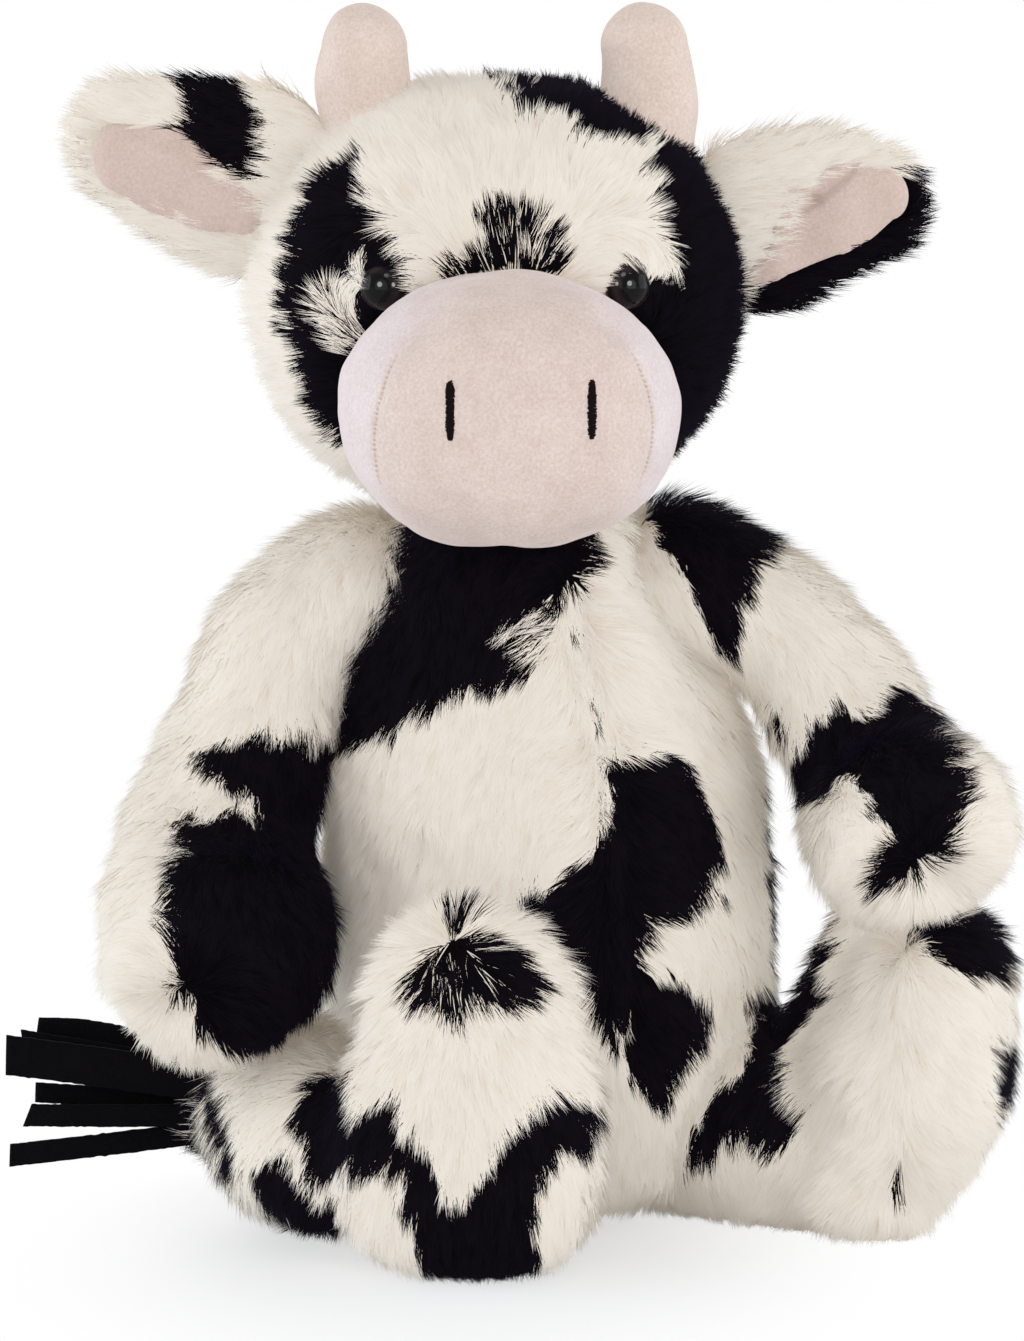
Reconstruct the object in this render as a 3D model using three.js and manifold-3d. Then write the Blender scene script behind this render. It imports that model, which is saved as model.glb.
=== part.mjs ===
// A sitting plush cow: fur-fabric bags packed with loose fibre and sewn together at neck, shoulders
// and hips.
// Millimetres, +Z up. The face looks towards -Y, and the toy's own right side is towards -X.
// The origin is the middle of the flat seat under the torso.
import * as THREE from 'three';
import { mergeVertices } from 'three/addons/utils/BufferGeometryUtils.js';
import Module from 'manifold-3d';

const wasm = await Module();
wasm.setup();

// Cloth and clearances
const seamGap = 0.3;          // running clearance between pieces that touch
const furThickness = 2.8;     // backing cloth with the dense foot of its pile
const swingSlack = 0.4;       // more clearance where a piece swings past another
const earSlack = 0.15;        // the same at the ears' short roots
const fillGap = 0.6;          // between a bag and the fibre inside it
const restDepth = 0.5;        // how far a bag is pressed flat where it stands
const workroom = 400;         // reach of the cutting blocks

// Torso: a pear with a round neck
const torsoHeight = 126;      // seat to the middle of the neck dome
const torsoHalfWidth = 44.5;
const torsoHalfDepth = 38;
const torsoLean = 8;          // the neck stands this far to the toy's right of the seat's swell
const neckRadius = 28;
const neckOpening = 12;       // radius of the hole through which the torso is stuffed
const neckSides = 20;
const torsoSides = 22;
const pelletLevel = 24;       // top of the bag of pellets in the seat

// Head
const headRise = 60;          // neck middle to head middle
const headHalfWidth = 49.5;
const headHalfHeight = 44;
const headHalfDepth = 43;
const headShift = 3.5;        // head middle to the toy's right of the neck
const headAhead = 4;          // head middle ahead of the neck
const headTurn = THREE.MathUtils.degToRad(3);
const headSides = 22;

// Muzzle
const muzzleHalfWidth = 32.4;
const muzzleHalfHeight = 26.9;
const muzzleReach = 35;       // from its middle to its front
const muzzleAhead = 43;       // its middle ahead of the head's middle
const muzzleDrop = 17.5;      // its middle below the head's middle
const muzzleSides = 24;

// Nostril stitches
const nostrilLength = 12;
const nostrilWidth = 2.2;
const nostrilThickness = 1;
const nostrilSpacing = 26.8;
const nostrilLift = 2.2;      // above the muzzle's middle
const nostrilDepthShare = 0.941;
const nostrilPathShares = [[0, 0, 0.5], [0, 0, 0.44], [0, 0, 0], [0, 0, -0.44], [0, 0, -0.5]];
const nostrilSides = 8;

// Eyes
const eyeRadius = 4.6;
const eyeDome = 3.6;
const eyeFlange = 1;
const eyeSpacing = 49.5;
const eyeLift = 4.4;          // above the head's middle
const eyeStemRadius = 1.8;
const eyeStemLength = 10;
const washerRadius = 7;
const washerThickness = 1.6;
const washerDepth = 5.2;      // from the flange's back to the washer
const eyeSides = 16;
const domeSteps = 4;

// Horns
const hornRadius = 9.4;
const hornHeight = 35.2;
const hornSpacing = 54.8;
const hornRise = 22;          // root above the head's middle
const hornShift = 2.9;        // both horns stand this far to the toy's left of the head's middle
const hornSides = 14;

// Ears
const earLength = 47;
const earHalfHeight = 16;
const earHalfThickness = 6;
const earSpacing = 85;        // between the roots
const earRise = 19;           // right root above the head's middle
const earDrop = 11;           // the left root is lower by this
const liningHalfThickness = 3;
const liningLength = 32;
const liningHalfHeight = 9;
const liningRootShare = 0.55; // of the ear's length that the lining leaves bare

// Limbs
const limbSides = 12;
const footSides = 16;

// Arms
const shoulderSpread = 54;    // between the two arms' roots
const shoulderRise = 7;       // above the neck's middle
const armLength = 100;
const armRadius = 20;
const leftArmRadius = 18;

// Legs
const hipSpread = 50;
const hipHeight = 24;
const legLength = 60;
const legRadius = 21.5;
const footHeight = 73.5;
const footHalfWidth = 26.5;
const footHalfDepth = 17;
const leftFootHeight = 68.5;
const leftFootHalfWidth = 24;
const leftFootHalfDepth = 22;

// Tail and tassel
const tailLength = 70;
const tailRadius = 11.6;
const tailBack = 24;          // root behind the seat's middle
const tailHeight = 12;
const tailAcrossShare = 0.25; // root to the toy's right of the middle, of the hips' spread
const stripLength = 37;
const stripWidth = 8.2;
const stripThickness = 0.9;
const stripSpread = 2;        // between neighbouring strips, front to back

// How far the bags swing, in degrees
const armRaise = 50;
const legLower = 60;
const earFlop = 20;
const tailForward = 8;
const tailBackward = 45;
const armClearShare = 0.25;   // of a leg's swing, past which it has left the arm

const X = new THREE.Vector3(1, 0, 0);
const Y = new THREE.Vector3(0, 1, 0);
const Z = new THREE.Vector3(0, 0, 1);
const at = (x, y, z) => new THREE.Vector3(x, y, z);

const cream = { color: 0xf0e9dc, roughness: 0.95, metalness: 0 };
const fill = { color: 0xf7f6f2, roughness: 1, metalness: 0 };
const suede = { color: 0xe3d2c9, roughness: 0.9, metalness: 0 };
const hornSuede = { color: 0xe6d5cb, roughness: 0.9, metalness: 0 };
const thread = { color: 0x2a1e1c, roughness: 0.8, metalness: 0 };
const glossBlack = { color: 0x120c0a, roughness: 0.08, metalness: 0 };
const clearPlastic = { color: 0xe8e8e4, roughness: 0.4, metalness: 0 };
const pelletCloth = { color: 0xd8d4ca, roughness: 0.95, metalness: 0 };
const tasselSuede = { color: 0x0f0d12, roughness: 0.85, metalness: 0 };

// Closed meshes and solids

/**
 * A closed surface through elliptical rings, each { centre, across, deep }, that starts and ends on a
 * point.
 */
function loft(first, rings, last, sides) {
  const points = [first];
  for (const { centre, across, deep } of rings) {
    for (let k = 0; k < sides; k++) {
      const turn = (2 * Math.PI * k) / sides;
      const place = centre.clone().addScaledVector(across, Math.cos(turn));
      points.push(place.addScaledVector(deep, Math.sin(turn)));
    }
  }
  points.push(last);
  const index = [];
  const corner = (ring, k) => 1 + ring * sides + (k % sides);
  for (let k = 0; k < sides; k++) {
    index.push(0, corner(0, k + 1), corner(0, k));
    index.push(points.length - 1, corner(rings.length - 1, k), corner(rings.length - 1, k + 1));
  }
  for (let ring = 0; ring + 1 < rings.length; ring++) {
    for (let k = 0; k < sides; k++) {
      index.push(corner(ring, k), corner(ring, k + 1), corner(ring + 1, k + 1));
      index.push(corner(ring, k), corner(ring + 1, k + 1), corner(ring + 1, k));
    }
  }
  const geometry = new THREE.BufferGeometry().setFromPoints(points);
  geometry.setIndex(index);
  return geometry;
}

/** The value at place t, from 0 to 1, on a smooth line through evenly spaced values. */
function along(values, t) {
  const line = new THREE.SplineCurve(values.map((value, k) => new THREE.Vector2(k, value)));
  return Math.max(0, line.getPoint(t).y);
}

/**
 * A stuffed bag along a path. The first and last points of the path are its tips, and widths and depths
 * are half sizes at the points between. side is the direction that the widths lie along.
 */
function bag({ path, widths, depths, side, sides, capRings = 3, spanRings = 2 }) {
  const curve = new THREE.CatmullRomCurve3(path, false, 'centripetal');
  const spans = path.length - 1;
  const rings = [];
  const ring = (t, share) => {
    const inner = Math.min(1, Math.max(0, (t * spans - 1) / (spans - 2)));
    const tangent = curve.getTangent(t);
    const across = side.clone().addScaledVector(tangent, -side.dot(tangent)).normalize();
    const deep = tangent.clone().cross(across);
    rings.push({
      centre: curve.getPoint(t),
      across: across.multiplyScalar(along(widths, inner) * share),
      deep: deep.multiplyScalar(along(depths, inner) * share),
    });
  };
  for (let k = 1; k < capRings; k++) {
    const bow = (Math.PI / 2) * (k / capRings);
    ring((1 - Math.cos(bow)) / spans, Math.sin(bow));
  }
  const middles = (spans - 2) * spanRings;
  for (let k = 0; k <= middles; k++) {
    ring((1 + k / spanRings) / spans, 1);
  }
  for (let k = capRings - 1; k > 0; k--) {
    const bow = (Math.PI / 2) * (k / capRings);
    ring(1 - (1 - Math.cos(bow)) / spans, Math.sin(bow));
  }
  return loft(path[0], rings, path[path.length - 1], sides);
}

/** The same closed surface moved in by depth everywhere, or out where depth is negative. */
function inset(geometry, depth) {
  const moved = geometry.clone();
  moved.computeVertexNormals();
  const places = moved.getAttribute('position');
  const normals = moved.getAttribute('normal');
  for (let k = 0; k < places.count; k++) {
    const normal = new THREE.Vector3().fromBufferAttribute(normals, k);
    const place = new THREE.Vector3().fromBufferAttribute(places, k).addScaledVector(normal, -depth);
    places.setXYZ(k, place.x, place.y, place.z);
  }
  moved.deleteAttribute('normal');
  return moved;
}

/** A solid from a closed geometry. */
function solid(geometry) {
  const bare = geometry.clone();
  bare.deleteAttribute('normal');
  bare.deleteAttribute('uv');
  const merged = mergeVertices(bare);
  return new wasm.Manifold(new wasm.Mesh({
    numProp: 3,
    vertProperties: new Float32Array(merged.getAttribute('position').array),
    triVerts: new Uint32Array(merged.index.array),
  }));
}

/** A geometry from a solid. */
function surface(body) {
  const { vertProperties, triVerts } = body.getMesh();
  const geometry = new THREE.BufferGeometry();
  geometry.setAttribute('position', new THREE.BufferAttribute(new Float32Array(vertProperties), 3));
  geometry.setIndex(new THREE.BufferAttribute(new Uint32Array(triVerts), 1));
  return geometry;
}

/** A geometry turned about an axis through a place, by an angle in degrees. */
function swung(geometry, { place, axis }, degrees) {
  const back = new THREE.Matrix4().makeTranslation(-place.x, -place.y, -place.z);
  const turn = new THREE.Matrix4().makeRotationAxis(axis, THREE.MathUtils.degToRad(degrees));
  const there = new THREE.Matrix4().makeTranslation(place.x, place.y, place.z);
  return geometry.clone().applyMatrix4(there.multiply(turn).multiply(back));
}

/**
 * One solid from a list of closed forms that run into each other, each moved in by depth, or out if it's
 * negative.
 */
const joined = (forms, depth) => forms
  .map((form) => solid(inset(form, depth)))
  .reduce((whole, form) => whole.add(form));

/** What a neighbour fills beside a bag that swings on a hinge: its clear shape at each stop. */
const swept = (forms, hinge, stops, slack = swingSlack) => stops.flatMap((stop) => (
  forms.map((form) => solid(swung(inset(form, stop ? -seamGap - slack : -seamGap), hinge, -stop)))
));

/** A solid less each of some others. */
const less = (body, cutters) => cutters.reduce((left, cutter) => left.subtract(cutter), body);

const stopShares = [0, 0.15, 0.4, 0.7, 1];
const stops = (far) => stopShares.map((share) => far * share);

/** A block that fills everything below a level. */
function below(level) {
  const block = new THREE.BoxGeometry(workroom, workroom, workroom);
  return solid(block.translate(0, 0, level - workroom / 2));
}

/** A block that fills everything above a level. */
const above = (level) => below(level + workroom);

/** A mesh with its own material. */
function piece(name, geometry, look) {
  const made = new THREE.Mesh(geometry, new THREE.MeshStandardMaterial(look));
  made.name = name;
  return made;
}

// The bags' forms

/** The torso's rings, each a share of the height, the half width, the half depth and the lean. */
const torsoShares = [
  [0.03, 0.6, 0.62, 0],
  [0.11, 0.86, 0.86, 0],
  [0.24, 0.97, 0.97, -0.05],
  [0.42, 1.02, 1, -0.15],
  [0.58, 1.01, 0.96, -0.1],
  [0.73, 0.98, 0.87, 0.1],
  [0.86, 0.89, 0.77, 0.45],
];
const neckMiddle = at(-torsoLean + headShift / 2, 0, torsoHeight);

function torsoForm() {
  const rings = torsoShares.map(([high, wide, deep, lean]) => ({
    centre: at(neckMiddle.x * lean, 0, torsoHeight * high),
    across: X.clone().multiplyScalar(torsoHalfWidth * wide),
    deep: Y.clone().multiplyScalar(torsoHalfDepth * deep),
  }));
  for (let k = 0; k < domeSteps; k++) {
    const rise = (Math.PI / 2) * (k / domeSteps);
    rings.push({
      centre: neckMiddle.clone().addScaledVector(Z, neckRadius * Math.sin(rise)),
      across: X.clone().multiplyScalar(neckRadius * Math.cos(rise)),
      deep: Y.clone().multiplyScalar(neckRadius * Math.cos(rise)),
    });
  }
  const top = neckMiddle.clone().addScaledVector(Z, neckRadius);
  return loft(at(0, 0, -restDepth), rings, top, torsoSides);
}

const headMiddle = neckMiddle.clone().add(at(-headShift, -headAhead, headRise));
const headPose = new THREE.Matrix4().makeRotationZ(headTurn).setPosition(headMiddle);
const onHead = (x, y, z) => at(x, y, z).applyMatrix4(headPose);

/** The head's rings, each a share of the half height above its middle, the half width and half depth. */
const headShares = [
  [-0.93, 0.46, 0.46],
  [-0.76, 0.72, 0.7],
  [-0.5, 0.91, 0.9],
  [-0.2, 1, 0.99],
  [0.12, 0.995, 1],
  [0.42, 0.92, 0.94],
  [0.68, 0.755, 0.78],
  [0.87, 0.53, 0.56],
  [0.97, 0.26, 0.28],
];

function headForm() {
  const rings = headShares.map(([high, wide, deep]) => ({
    centre: at(0, 0, headHalfHeight * high),
    across: X.clone().multiplyScalar(headHalfWidth * wide),
    deep: Y.clone().multiplyScalar(headHalfDepth * deep),
  }));
  const top = at(0, 0, headHalfHeight);
  return loft(top.clone().negate(), rings, top, headSides).applyMatrix4(headPose);
}

/** The muzzle's rings from back to front, each a share of the reach, the half width and half height. */
const muzzleShares = [
  [0.9, 0.5, 0.5],
  [0.55, 0.86, 0.84],
  [0.1, 0.99, 0.98],
  [-0.3, 1, 1],
  [-0.66, 0.86, 0.86],
  [-0.88, 0.6, 0.6],
  [-0.97, 0.32, 0.32],
];
const muzzleMiddle = at(0, -muzzleAhead, -muzzleDrop);

function muzzleForm() {
  const rings = muzzleShares.map(([back, wide, high]) => ({
    centre: muzzleMiddle.clone().addScaledVector(Y, muzzleReach * back),
    across: X.clone().multiplyScalar(muzzleHalfWidth * wide),
    deep: Z.clone().multiplyScalar(muzzleHalfHeight * high),
  }));
  const back = muzzleMiddle.clone().addScaledVector(Y, muzzleReach);
  const front = muzzleMiddle.clone().addScaledVector(Y, -muzzleReach);
  return loft(back, rings, front, muzzleSides).applyMatrix4(headPose);
}

/** Places on a path, each given as shares of a length out, ahead and up from the root. */
const path = (root, length, shares) => shares.map(([x, y, z]) => (
  root.clone().add(at(x, y, z).multiplyScalar(length))
));

/** Half sizes along a path, each a share of one size. */
const sized = (size, shares) => shares.map((share) => size * share);

const shoulderHeight = torsoHeight + shoulderRise;
const shoulder = (side) => ({
  place: at(neckMiddle.x + (side * shoulderSpread) / 2, 0, shoulderHeight),
  axis: X.clone().negate(),
});

const rightArmPathShares = [
  [0.12, 0, -0.02],
  [-0.04, 0, -0.04],
  [-0.17, -0.02, -0.16],
  [-0.26, -0.06, -0.37],
  [-0.31, -0.16, -0.57],
  [-0.3, -0.33, -0.715],
  [-0.24, -0.52, -0.79],
];
const rightArmGirthShares = [0.6, 0.74, 0.87, 1, 1.02];
const leftArmPathShares = [
  [-0.12, 0, -0.02],
  [0.06, 0, -0.03],
  [0.26, -0.03, -0.14],
  [0.4, -0.09, -0.31],
  [0.475, -0.18, -0.45],
  [0.51, -0.32, -0.49],
  [0.55, -0.47, -0.55],
];
const leftArmGirthShares = [0.62, 0.76, 0.88, 1, 0.98];

const armForm = (root, shares, girth, girthShares) => bag({
  path: path(root, armLength, shares),
  widths: sized(girth, girthShares),
  depths: sized(girth, girthShares),
  side: Y,
  sides: limbSides,
});

const rightHip = { place: at(-hipSpread / 2, 0, hipHeight), axis: X };
const leftHeading = at(0.9, -0.42, 0).normalize();
const leftAxis = Z.clone().cross(leftHeading).normalize();
const leftHip = { place: at(hipSpread / 2, 0, hipHeight), axis: leftAxis };

/** A leg and its upturned foot: bags that run into each other, with places as shares of their lengths. */
function legForms(hip, side, leg, foot) {
  const heel = path(hip.place, legLength, [leg.heelShares])[0];
  return [
    bag({
      path: path(hip.place, legLength, leg.pathShares),
      widths: sized(legRadius, leg.breadthShares),
      depths: sized(legRadius, leg.girthShares),
      side,
      sides: limbSides,
    }),
    bag({
      path: path(heel, foot.height, foot.pathShares),
      widths: sized(foot.halfWidth, foot.girthShares),
      depths: sized(foot.halfDepth, foot.depthShares),
      side,
      sides: footSides,
    }),
  ];
}

const rightLegForms = () => legForms(rightHip, X, {
  pathShares: [
    [0.2, 0.14, 0.02],
    [-0.13, 0.02, -0.01],
    [-0.34, -0.2, -0.05],
    [-0.32, -0.56, -0.06],
    [-0.1, -0.96, -0.08],
  ],
  girthShares: [0.84, 1, 0.94],
  breadthShares: [0.8, 1.06, 0.94],
  heelShares: [0.17, -0.9, -0.41],
}, {
  height: footHeight,
  halfWidth: footHalfWidth,
  halfDepth: footHalfDepth,
  pathShares: [
    [0, 0.03, 0],
    [0, 0, 0.2],
    [0, -0.01, 0.45],
    [0, 0, 0.72],
    [-0.02, 0.05, 1],
  ],
  girthShares: [0.97, 1.02, 0.76],
  depthShares: [1.1, 1.05, 0.84],
});

const leftLegForms = () => legForms(leftHip, leftHip.axis, {
  pathShares: [
    [-0.2, 0.1, 0.02],
    [0.1, -0.04, -0.02],
    [0.38, -0.2, -0.06],
    [0.62, -0.32, -0.07],
    [0.98, -0.48, -0.08],
  ],
  girthShares: [0.86, 0.97, 0.96],
  breadthShares: [0.86, 0.97, 0.96],
  heelShares: [0.86, -0.42, -0.41],
}, {
  height: leftFootHeight,
  halfWidth: leftFootHalfWidth,
  halfDepth: leftFootHalfDepth,
  pathShares: [
    [-0.08, 0.03, 0],
    [-0.06, 0.03, 0.2],
    [-0.08, 0.035, 0.45],
    [-0.05, 0.02, 0.72],
    [-0.04, 0.01, 1],
  ],
  girthShares: [0.95, 1, 0.86],
  depthShares: [1, 0.98, 0.82],
});

const earHinge = (side) => ({
  place: onHead((side * earSpacing) / 2, 0, side < 0 ? earRise : earRise - earDrop),
  axis: Y,
});
const earPathShares = [
  [-0.12, 0, -0.04],
  [0.12, 0, 0.02],
  [0.42, 0, 0.14],
  [0.72, -0.02, 0.24],
  [0.96, -0.04, 0.3],
];
const earHeightShares = [0.55, 1, 0.86];
const earThicknessShares = [0.95, 1, 0.9];
const mirrored = (shares, side) => shares.map(([x, y, z]) => [x * side, y, z]);

const earForm = (side) => bag({
  path: path(earHinge(side).place, earLength, mirrored(earPathShares, side)),
  widths: sized(earHalfHeight, earHeightShares),
  depths: sized(earHalfThickness, earThicknessShares),
  side: Z,
  sides: limbSides,
});

const liningPathShares = [
  [0, 0, 0],
  [0.22, 0, 0.06],
  [0.6, -0.01, 0.18],
  [0.85, -0.02, 0.27],
  [1, -0.02, 0.31],
];
const liningHeightShares = [0.55, 1, 0.72];
const evenShares = [1, 1, 1];

function liningForm(side) {
  const root = earHinge(side).place.clone();
  root.addScaledVector(X, side * (earLength - liningLength) * liningRootShare);
  root.addScaledVector(Y, -earHalfThickness);
  return bag({
    path: path(root, liningLength, mirrored(liningPathShares, side)),
    widths: sized(liningHalfHeight, liningHeightShares),
    depths: sized(liningHalfThickness, evenShares),
    side: Z,
    sides: limbSides,
  });
}

const hornPathShares = [
  [0, 0, 0],
  [0, 0, 0.2],
  [0.02, 0, 0.5],
  [0.01, 0, 0.75],
  [-0.02, 0, 1],
];
const hornGirthShares = [1, 1.02, 0.92];

function hornForm(side) {
  const root = onHead((side * hornSpacing) / 2 + hornShift, 0, hornRise);
  return bag({
    path: path(root, hornHeight, mirrored(hornPathShares, side)),
    widths: sized(hornRadius, hornGirthShares),
    depths: sized(hornRadius, hornGirthShares),
    side: X,
    sides: hornSides,
  });
}

const tailHinge = { place: at(-hipSpread * tailAcrossShare, tailBack, tailHeight), axis: Z };
const tailPathShares = [
  [0.12, -0.02, 0],
  [-0.12, 0.08, 0],
  [-0.38, 0.16, 0],
  [-0.66, 0.19, 0],
  [-0.88, 0.19, 0],
];
const tailGirthShares = [0.85, 0.9, 1];
const tailForm = () => bag({
  path: path(tailHinge.place, tailLength, tailPathShares),
  widths: sized(tailRadius, tailGirthShares),
  depths: sized(tailRadius, tailGirthShares),
  side: Z,
  sides: limbSides,
});

/**
 * The tassel's strips, front to back: rise at the tail's end as a share of its radius, and shares of the
 * length and the width.
 */
const stripShares = [
  [0.72, 1, 1],
  [0.04, 0.88, 0.56],
  [-0.34, 0.99, 0.56],
  [0.26, 0.84, 0.5],
  [0.66, 0.92, 0.8],
  [0.6, 0.78, 0.8],
];
const stripSlopes = [6, 0, -6.5, 2, 8.5, 17]; // degrees, free end up

// The pieces

const toy = new THREE.Group();
const add = (name, geometry, look) => toy.add(piece(name, geometry, look));
const torso = [torsoForm()];
const head = [headForm()];
const rightLeg = rightLegForms();
const leftLeg = leftLegForms();
const floor = below(0);

/** The skin of a fur bag and the fibre inside it, both cut clear of what lies against them. */
const stuffed = (forms, cutters) => ({
  skin: less(joined(forms, 0).subtract(joined(forms, furThickness)), cutters),
  fibre: less(joined(forms, furThickness + fillGap), cutters),
});

// Torso, with fibre above and pellets in the seat
const neckHole = solid(
  new THREE.CylinderGeometry(neckOpening, neckOpening, workroom, neckSides)
    .rotateX(Math.PI / 2)
    .translate(neckMiddle.x, neckMiddle.y, neckMiddle.z + workroom / 2),
);
const trunk = stuffed(torso, [floor]);
add('torso_skin', surface(trunk.skin.subtract(neckHole)), cream);
add('torso_stuffing', surface(trunk.fibre.subtract(below(pelletLevel))), fill);
add('pellet_bag', surface(trunk.fibre.subtract(above(pelletLevel - seamGap))), pelletCloth);

// Eyes: a domed button on a stem that passes through the skin into a washer
const eyeProfile = (grow) => {
  const dome = [];
  for (let k = 0; k <= domeSteps; k++) {
    const turn = (Math.PI / 2) * (k / domeSteps);
    dome.push(new THREE.Vector2((eyeRadius + grow) * Math.sin(turn), (eyeDome + grow) * Math.cos(turn)));
  }
  const stem = eyeStemRadius + grow;
  return [
    ...dome,
    new THREE.Vector2(eyeRadius + grow, -eyeFlange - grow),
    new THREE.Vector2(stem, -eyeFlange - grow),
    new THREE.Vector2(stem, -eyeFlange - eyeStemLength - grow),
    new THREE.Vector2(0, -eyeFlange - eyeStemLength - grow),
  ].reverse();
};
const washerProfile = (grow) => {
  const top = -eyeFlange - washerDepth + grow;
  const bottom = -eyeFlange - washerDepth - washerThickness - grow;
  const hole = eyeStemRadius + seamGap - grow;
  return [
    new THREE.Vector2(hole, bottom),
    new THREE.Vector2(washerRadius + grow, bottom),
    new THREE.Vector2(washerRadius + grow, top),
    new THREE.Vector2(hole, top),
    new THREE.Vector2(hole, bottom),
  ];
};

/** Where an eye sits: on the head's oval at its height, facing straight out of it. */
function eyePose(side) {
  const x = (side * eyeSpacing) / 2;
  const y = -headHalfDepth * Math.sqrt(1 - (x / headHalfWidth) ** 2);
  const outward = at(x / headHalfWidth ** 2, y / headHalfDepth ** 2, 0).normalize();
  const seat = at(x, y, eyeLift).addScaledVector(outward, eyeFlange + seamGap);
  const turn = new THREE.Quaternion().setFromUnitVectors(Y, outward);
  return headPose.clone().multiply(new THREE.Matrix4().compose(seat, turn, at(1, 1, 1)));
}
const turned = (profile, pose) => new THREE.LatheGeometry(profile, eyeSides).applyMatrix4(pose);
const eyeCuts = [];
for (const [name, side] of [['right', -1], ['left', 1]]) {
  const pose = eyePose(side);
  for (const [part, profile, look] of [
    [`eye_${name}`, eyeProfile(0), glossBlack],
    [`eye_washer_${name}`, washerProfile(0), clearPlastic],
  ]) {
    const made = piece(part, new THREE.LatheGeometry(profile, eyeSides), look);
    made.applyMatrix4(pose);
    toy.add(made);
  }
  eyeCuts.push(solid(turned(eyeProfile(seamGap), pose)), solid(turned(washerProfile(seamGap), pose)));
}

// Head, seated on the dome of the neck, round which it turns. The socket's flats clear the dome's
// corners.
const socketRadius = (neckRadius + seamGap) / Math.cos(Math.PI / neckSides) ** 2;
const socket = solid(
  new THREE.SphereGeometry(socketRadius, neckSides, neckSides / 2)
    .rotateX(Math.PI / 2)
    .translate(neckMiddle.x, neckMiddle.y, neckMiddle.z),
);
const skull = stuffed(head, [socket, ...eyeCuts]);
add('head_skin', surface(skull.skin), cream);
add('head_stuffing', surface(skull.fibre), fill);

// Muzzle and its nostril stitches
const nostrils = [['right', -1], ['left', 1]].map(([name, side]) => {
  const offset = at((side * nostrilSpacing) / 2, nostrilDepthShare * -muzzleReach, nostrilLift);
  const middle = muzzleMiddle.clone().add(offset);
  const form = bag({
    path: path(middle, nostrilLength, nostrilPathShares),
    widths: sized(nostrilWidth / 2, evenShares),
    depths: sized(nostrilThickness / 2, evenShares),
    side: X,
    sides: nostrilSides,
    capRings: 2,
  }).applyMatrix4(headPose);
  add(`nostril_stitch_${name}`, form, thread);
  return joined([form], -seamGap);
});
const muzzle = muzzleForm();
add('muzzle', surface(less(solid(muzzle), [joined(head, -seamGap), ...eyeCuts, ...nostrils])), suede);

// Ears and their linings, and the horns
for (const [name, side] of [['right', -1], ['left', 1]]) {
  const ear = earForm(side);
  const cuts = swept(head, earHinge(side), [0, -earFlop, earFlop], earSlack);
  add(`ear_${name}`, surface(less(solid(ear), cuts)), cream);
  add(`ear_lining_${name}`, surface(solid(liningForm(side)).subtract(joined([ear], -seamGap))), suede);
  add(`horn_${name}`, surface(solid(hornForm(side)).subtract(joined(head, -seamGap))), hornSuede);
}

// Legs, and the arms that rest on them
const legs = [
  ['right', rightLeg, rightHip],
  ['left', leftLeg, leftHip],
];
for (const [name, forms, hip] of legs) {
  const leg = stuffed(forms, [floor, ...swept(torso, hip, stops(legLower))]);
  add(`leg_skin_${name}`, surface(leg.skin), cream);
  add(`leg_stuffing_${name}`, surface(leg.fibre), fill);
}
const arms = [
  ['right', -1, rightArmPathShares, armRadius, rightArmGirthShares],
  ['left', 1, leftArmPathShares, leftArmRadius, leftArmGirthShares],
];
arms.forEach(([name, side, shares, girth, girthShares], which) => {
  const [, leg, hip] = legs[which];
  const hinge = shoulder(side);
  const arm = stuffed([armForm(hinge.place, shares, girth, girthShares)], [
    ...swept(torso, hinge, stops(armRaise)),
    ...swept(leg, hip, [0, -legLower * armClearShare]),
  ]);
  add(`arm_skin_${name}`, surface(arm.skin), cream);
  add(`arm_stuffing_${name}`, surface(arm.fibre), fill);
});

// Tail, with a tassel of flat strips sewn into its end
const tail = tailForm();
const tailStops = [0, -tailBackward / 2, -tailBackward, tailForward];
const tailBag = less(solid(tail), [floor, ...swept(torso, tailHinge, tailStops)]);
add('tail', surface(tailBag), cream);
const tailEnd = path(tailHinge.place, tailLength, tailPathShares).pop();
const clearOfTail = joined([tail], -seamGap);
const middleStrip = (stripShares.length - 1) / 2;
stripShares.forEach(([high, long, wide], which) => {
  const strip = new THREE.BoxGeometry(stripLength * long + tailRadius, stripThickness, stripWidth * wide)
    .translate(-(stripLength * long - tailRadius) / 2, 0, 0)
    .rotateY(THREE.MathUtils.degToRad(stripSlopes[which]))
    .translate(0, stripSpread * (which - middleStrip), tailRadius * high)
    .translate(tailEnd.x, tailEnd.y, tailEnd.z);
  add(`tassel_strip_${which + 1}`, surface(solid(strip).subtract(clearOfTail)), tasselSuede);
});

export default toy;
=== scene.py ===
"""A sitting plush cow: fur bags stuffed with fibre, with suede on its face, ears, horns and tail.

Sizes below are in millimetres and Blender's are in metres. +Z is up, the face looks towards -Y, and
the toy's own right side is towards -X. Pixels are those of the photograph's frame of 1024 by 1341.
"""

import logging
import math
from collections.abc import Callable
from dataclasses import dataclass, field
from enum import Enum

import bpy
import numpy as np
from bpy.types import ID, Material, Mesh, Node, NodeSocket, NodeTree, Object
from mathutils import Matrix, Vector
from mathutils.bvhtree import BVHTree
from mathutils.kdtree import KDTree


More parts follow.
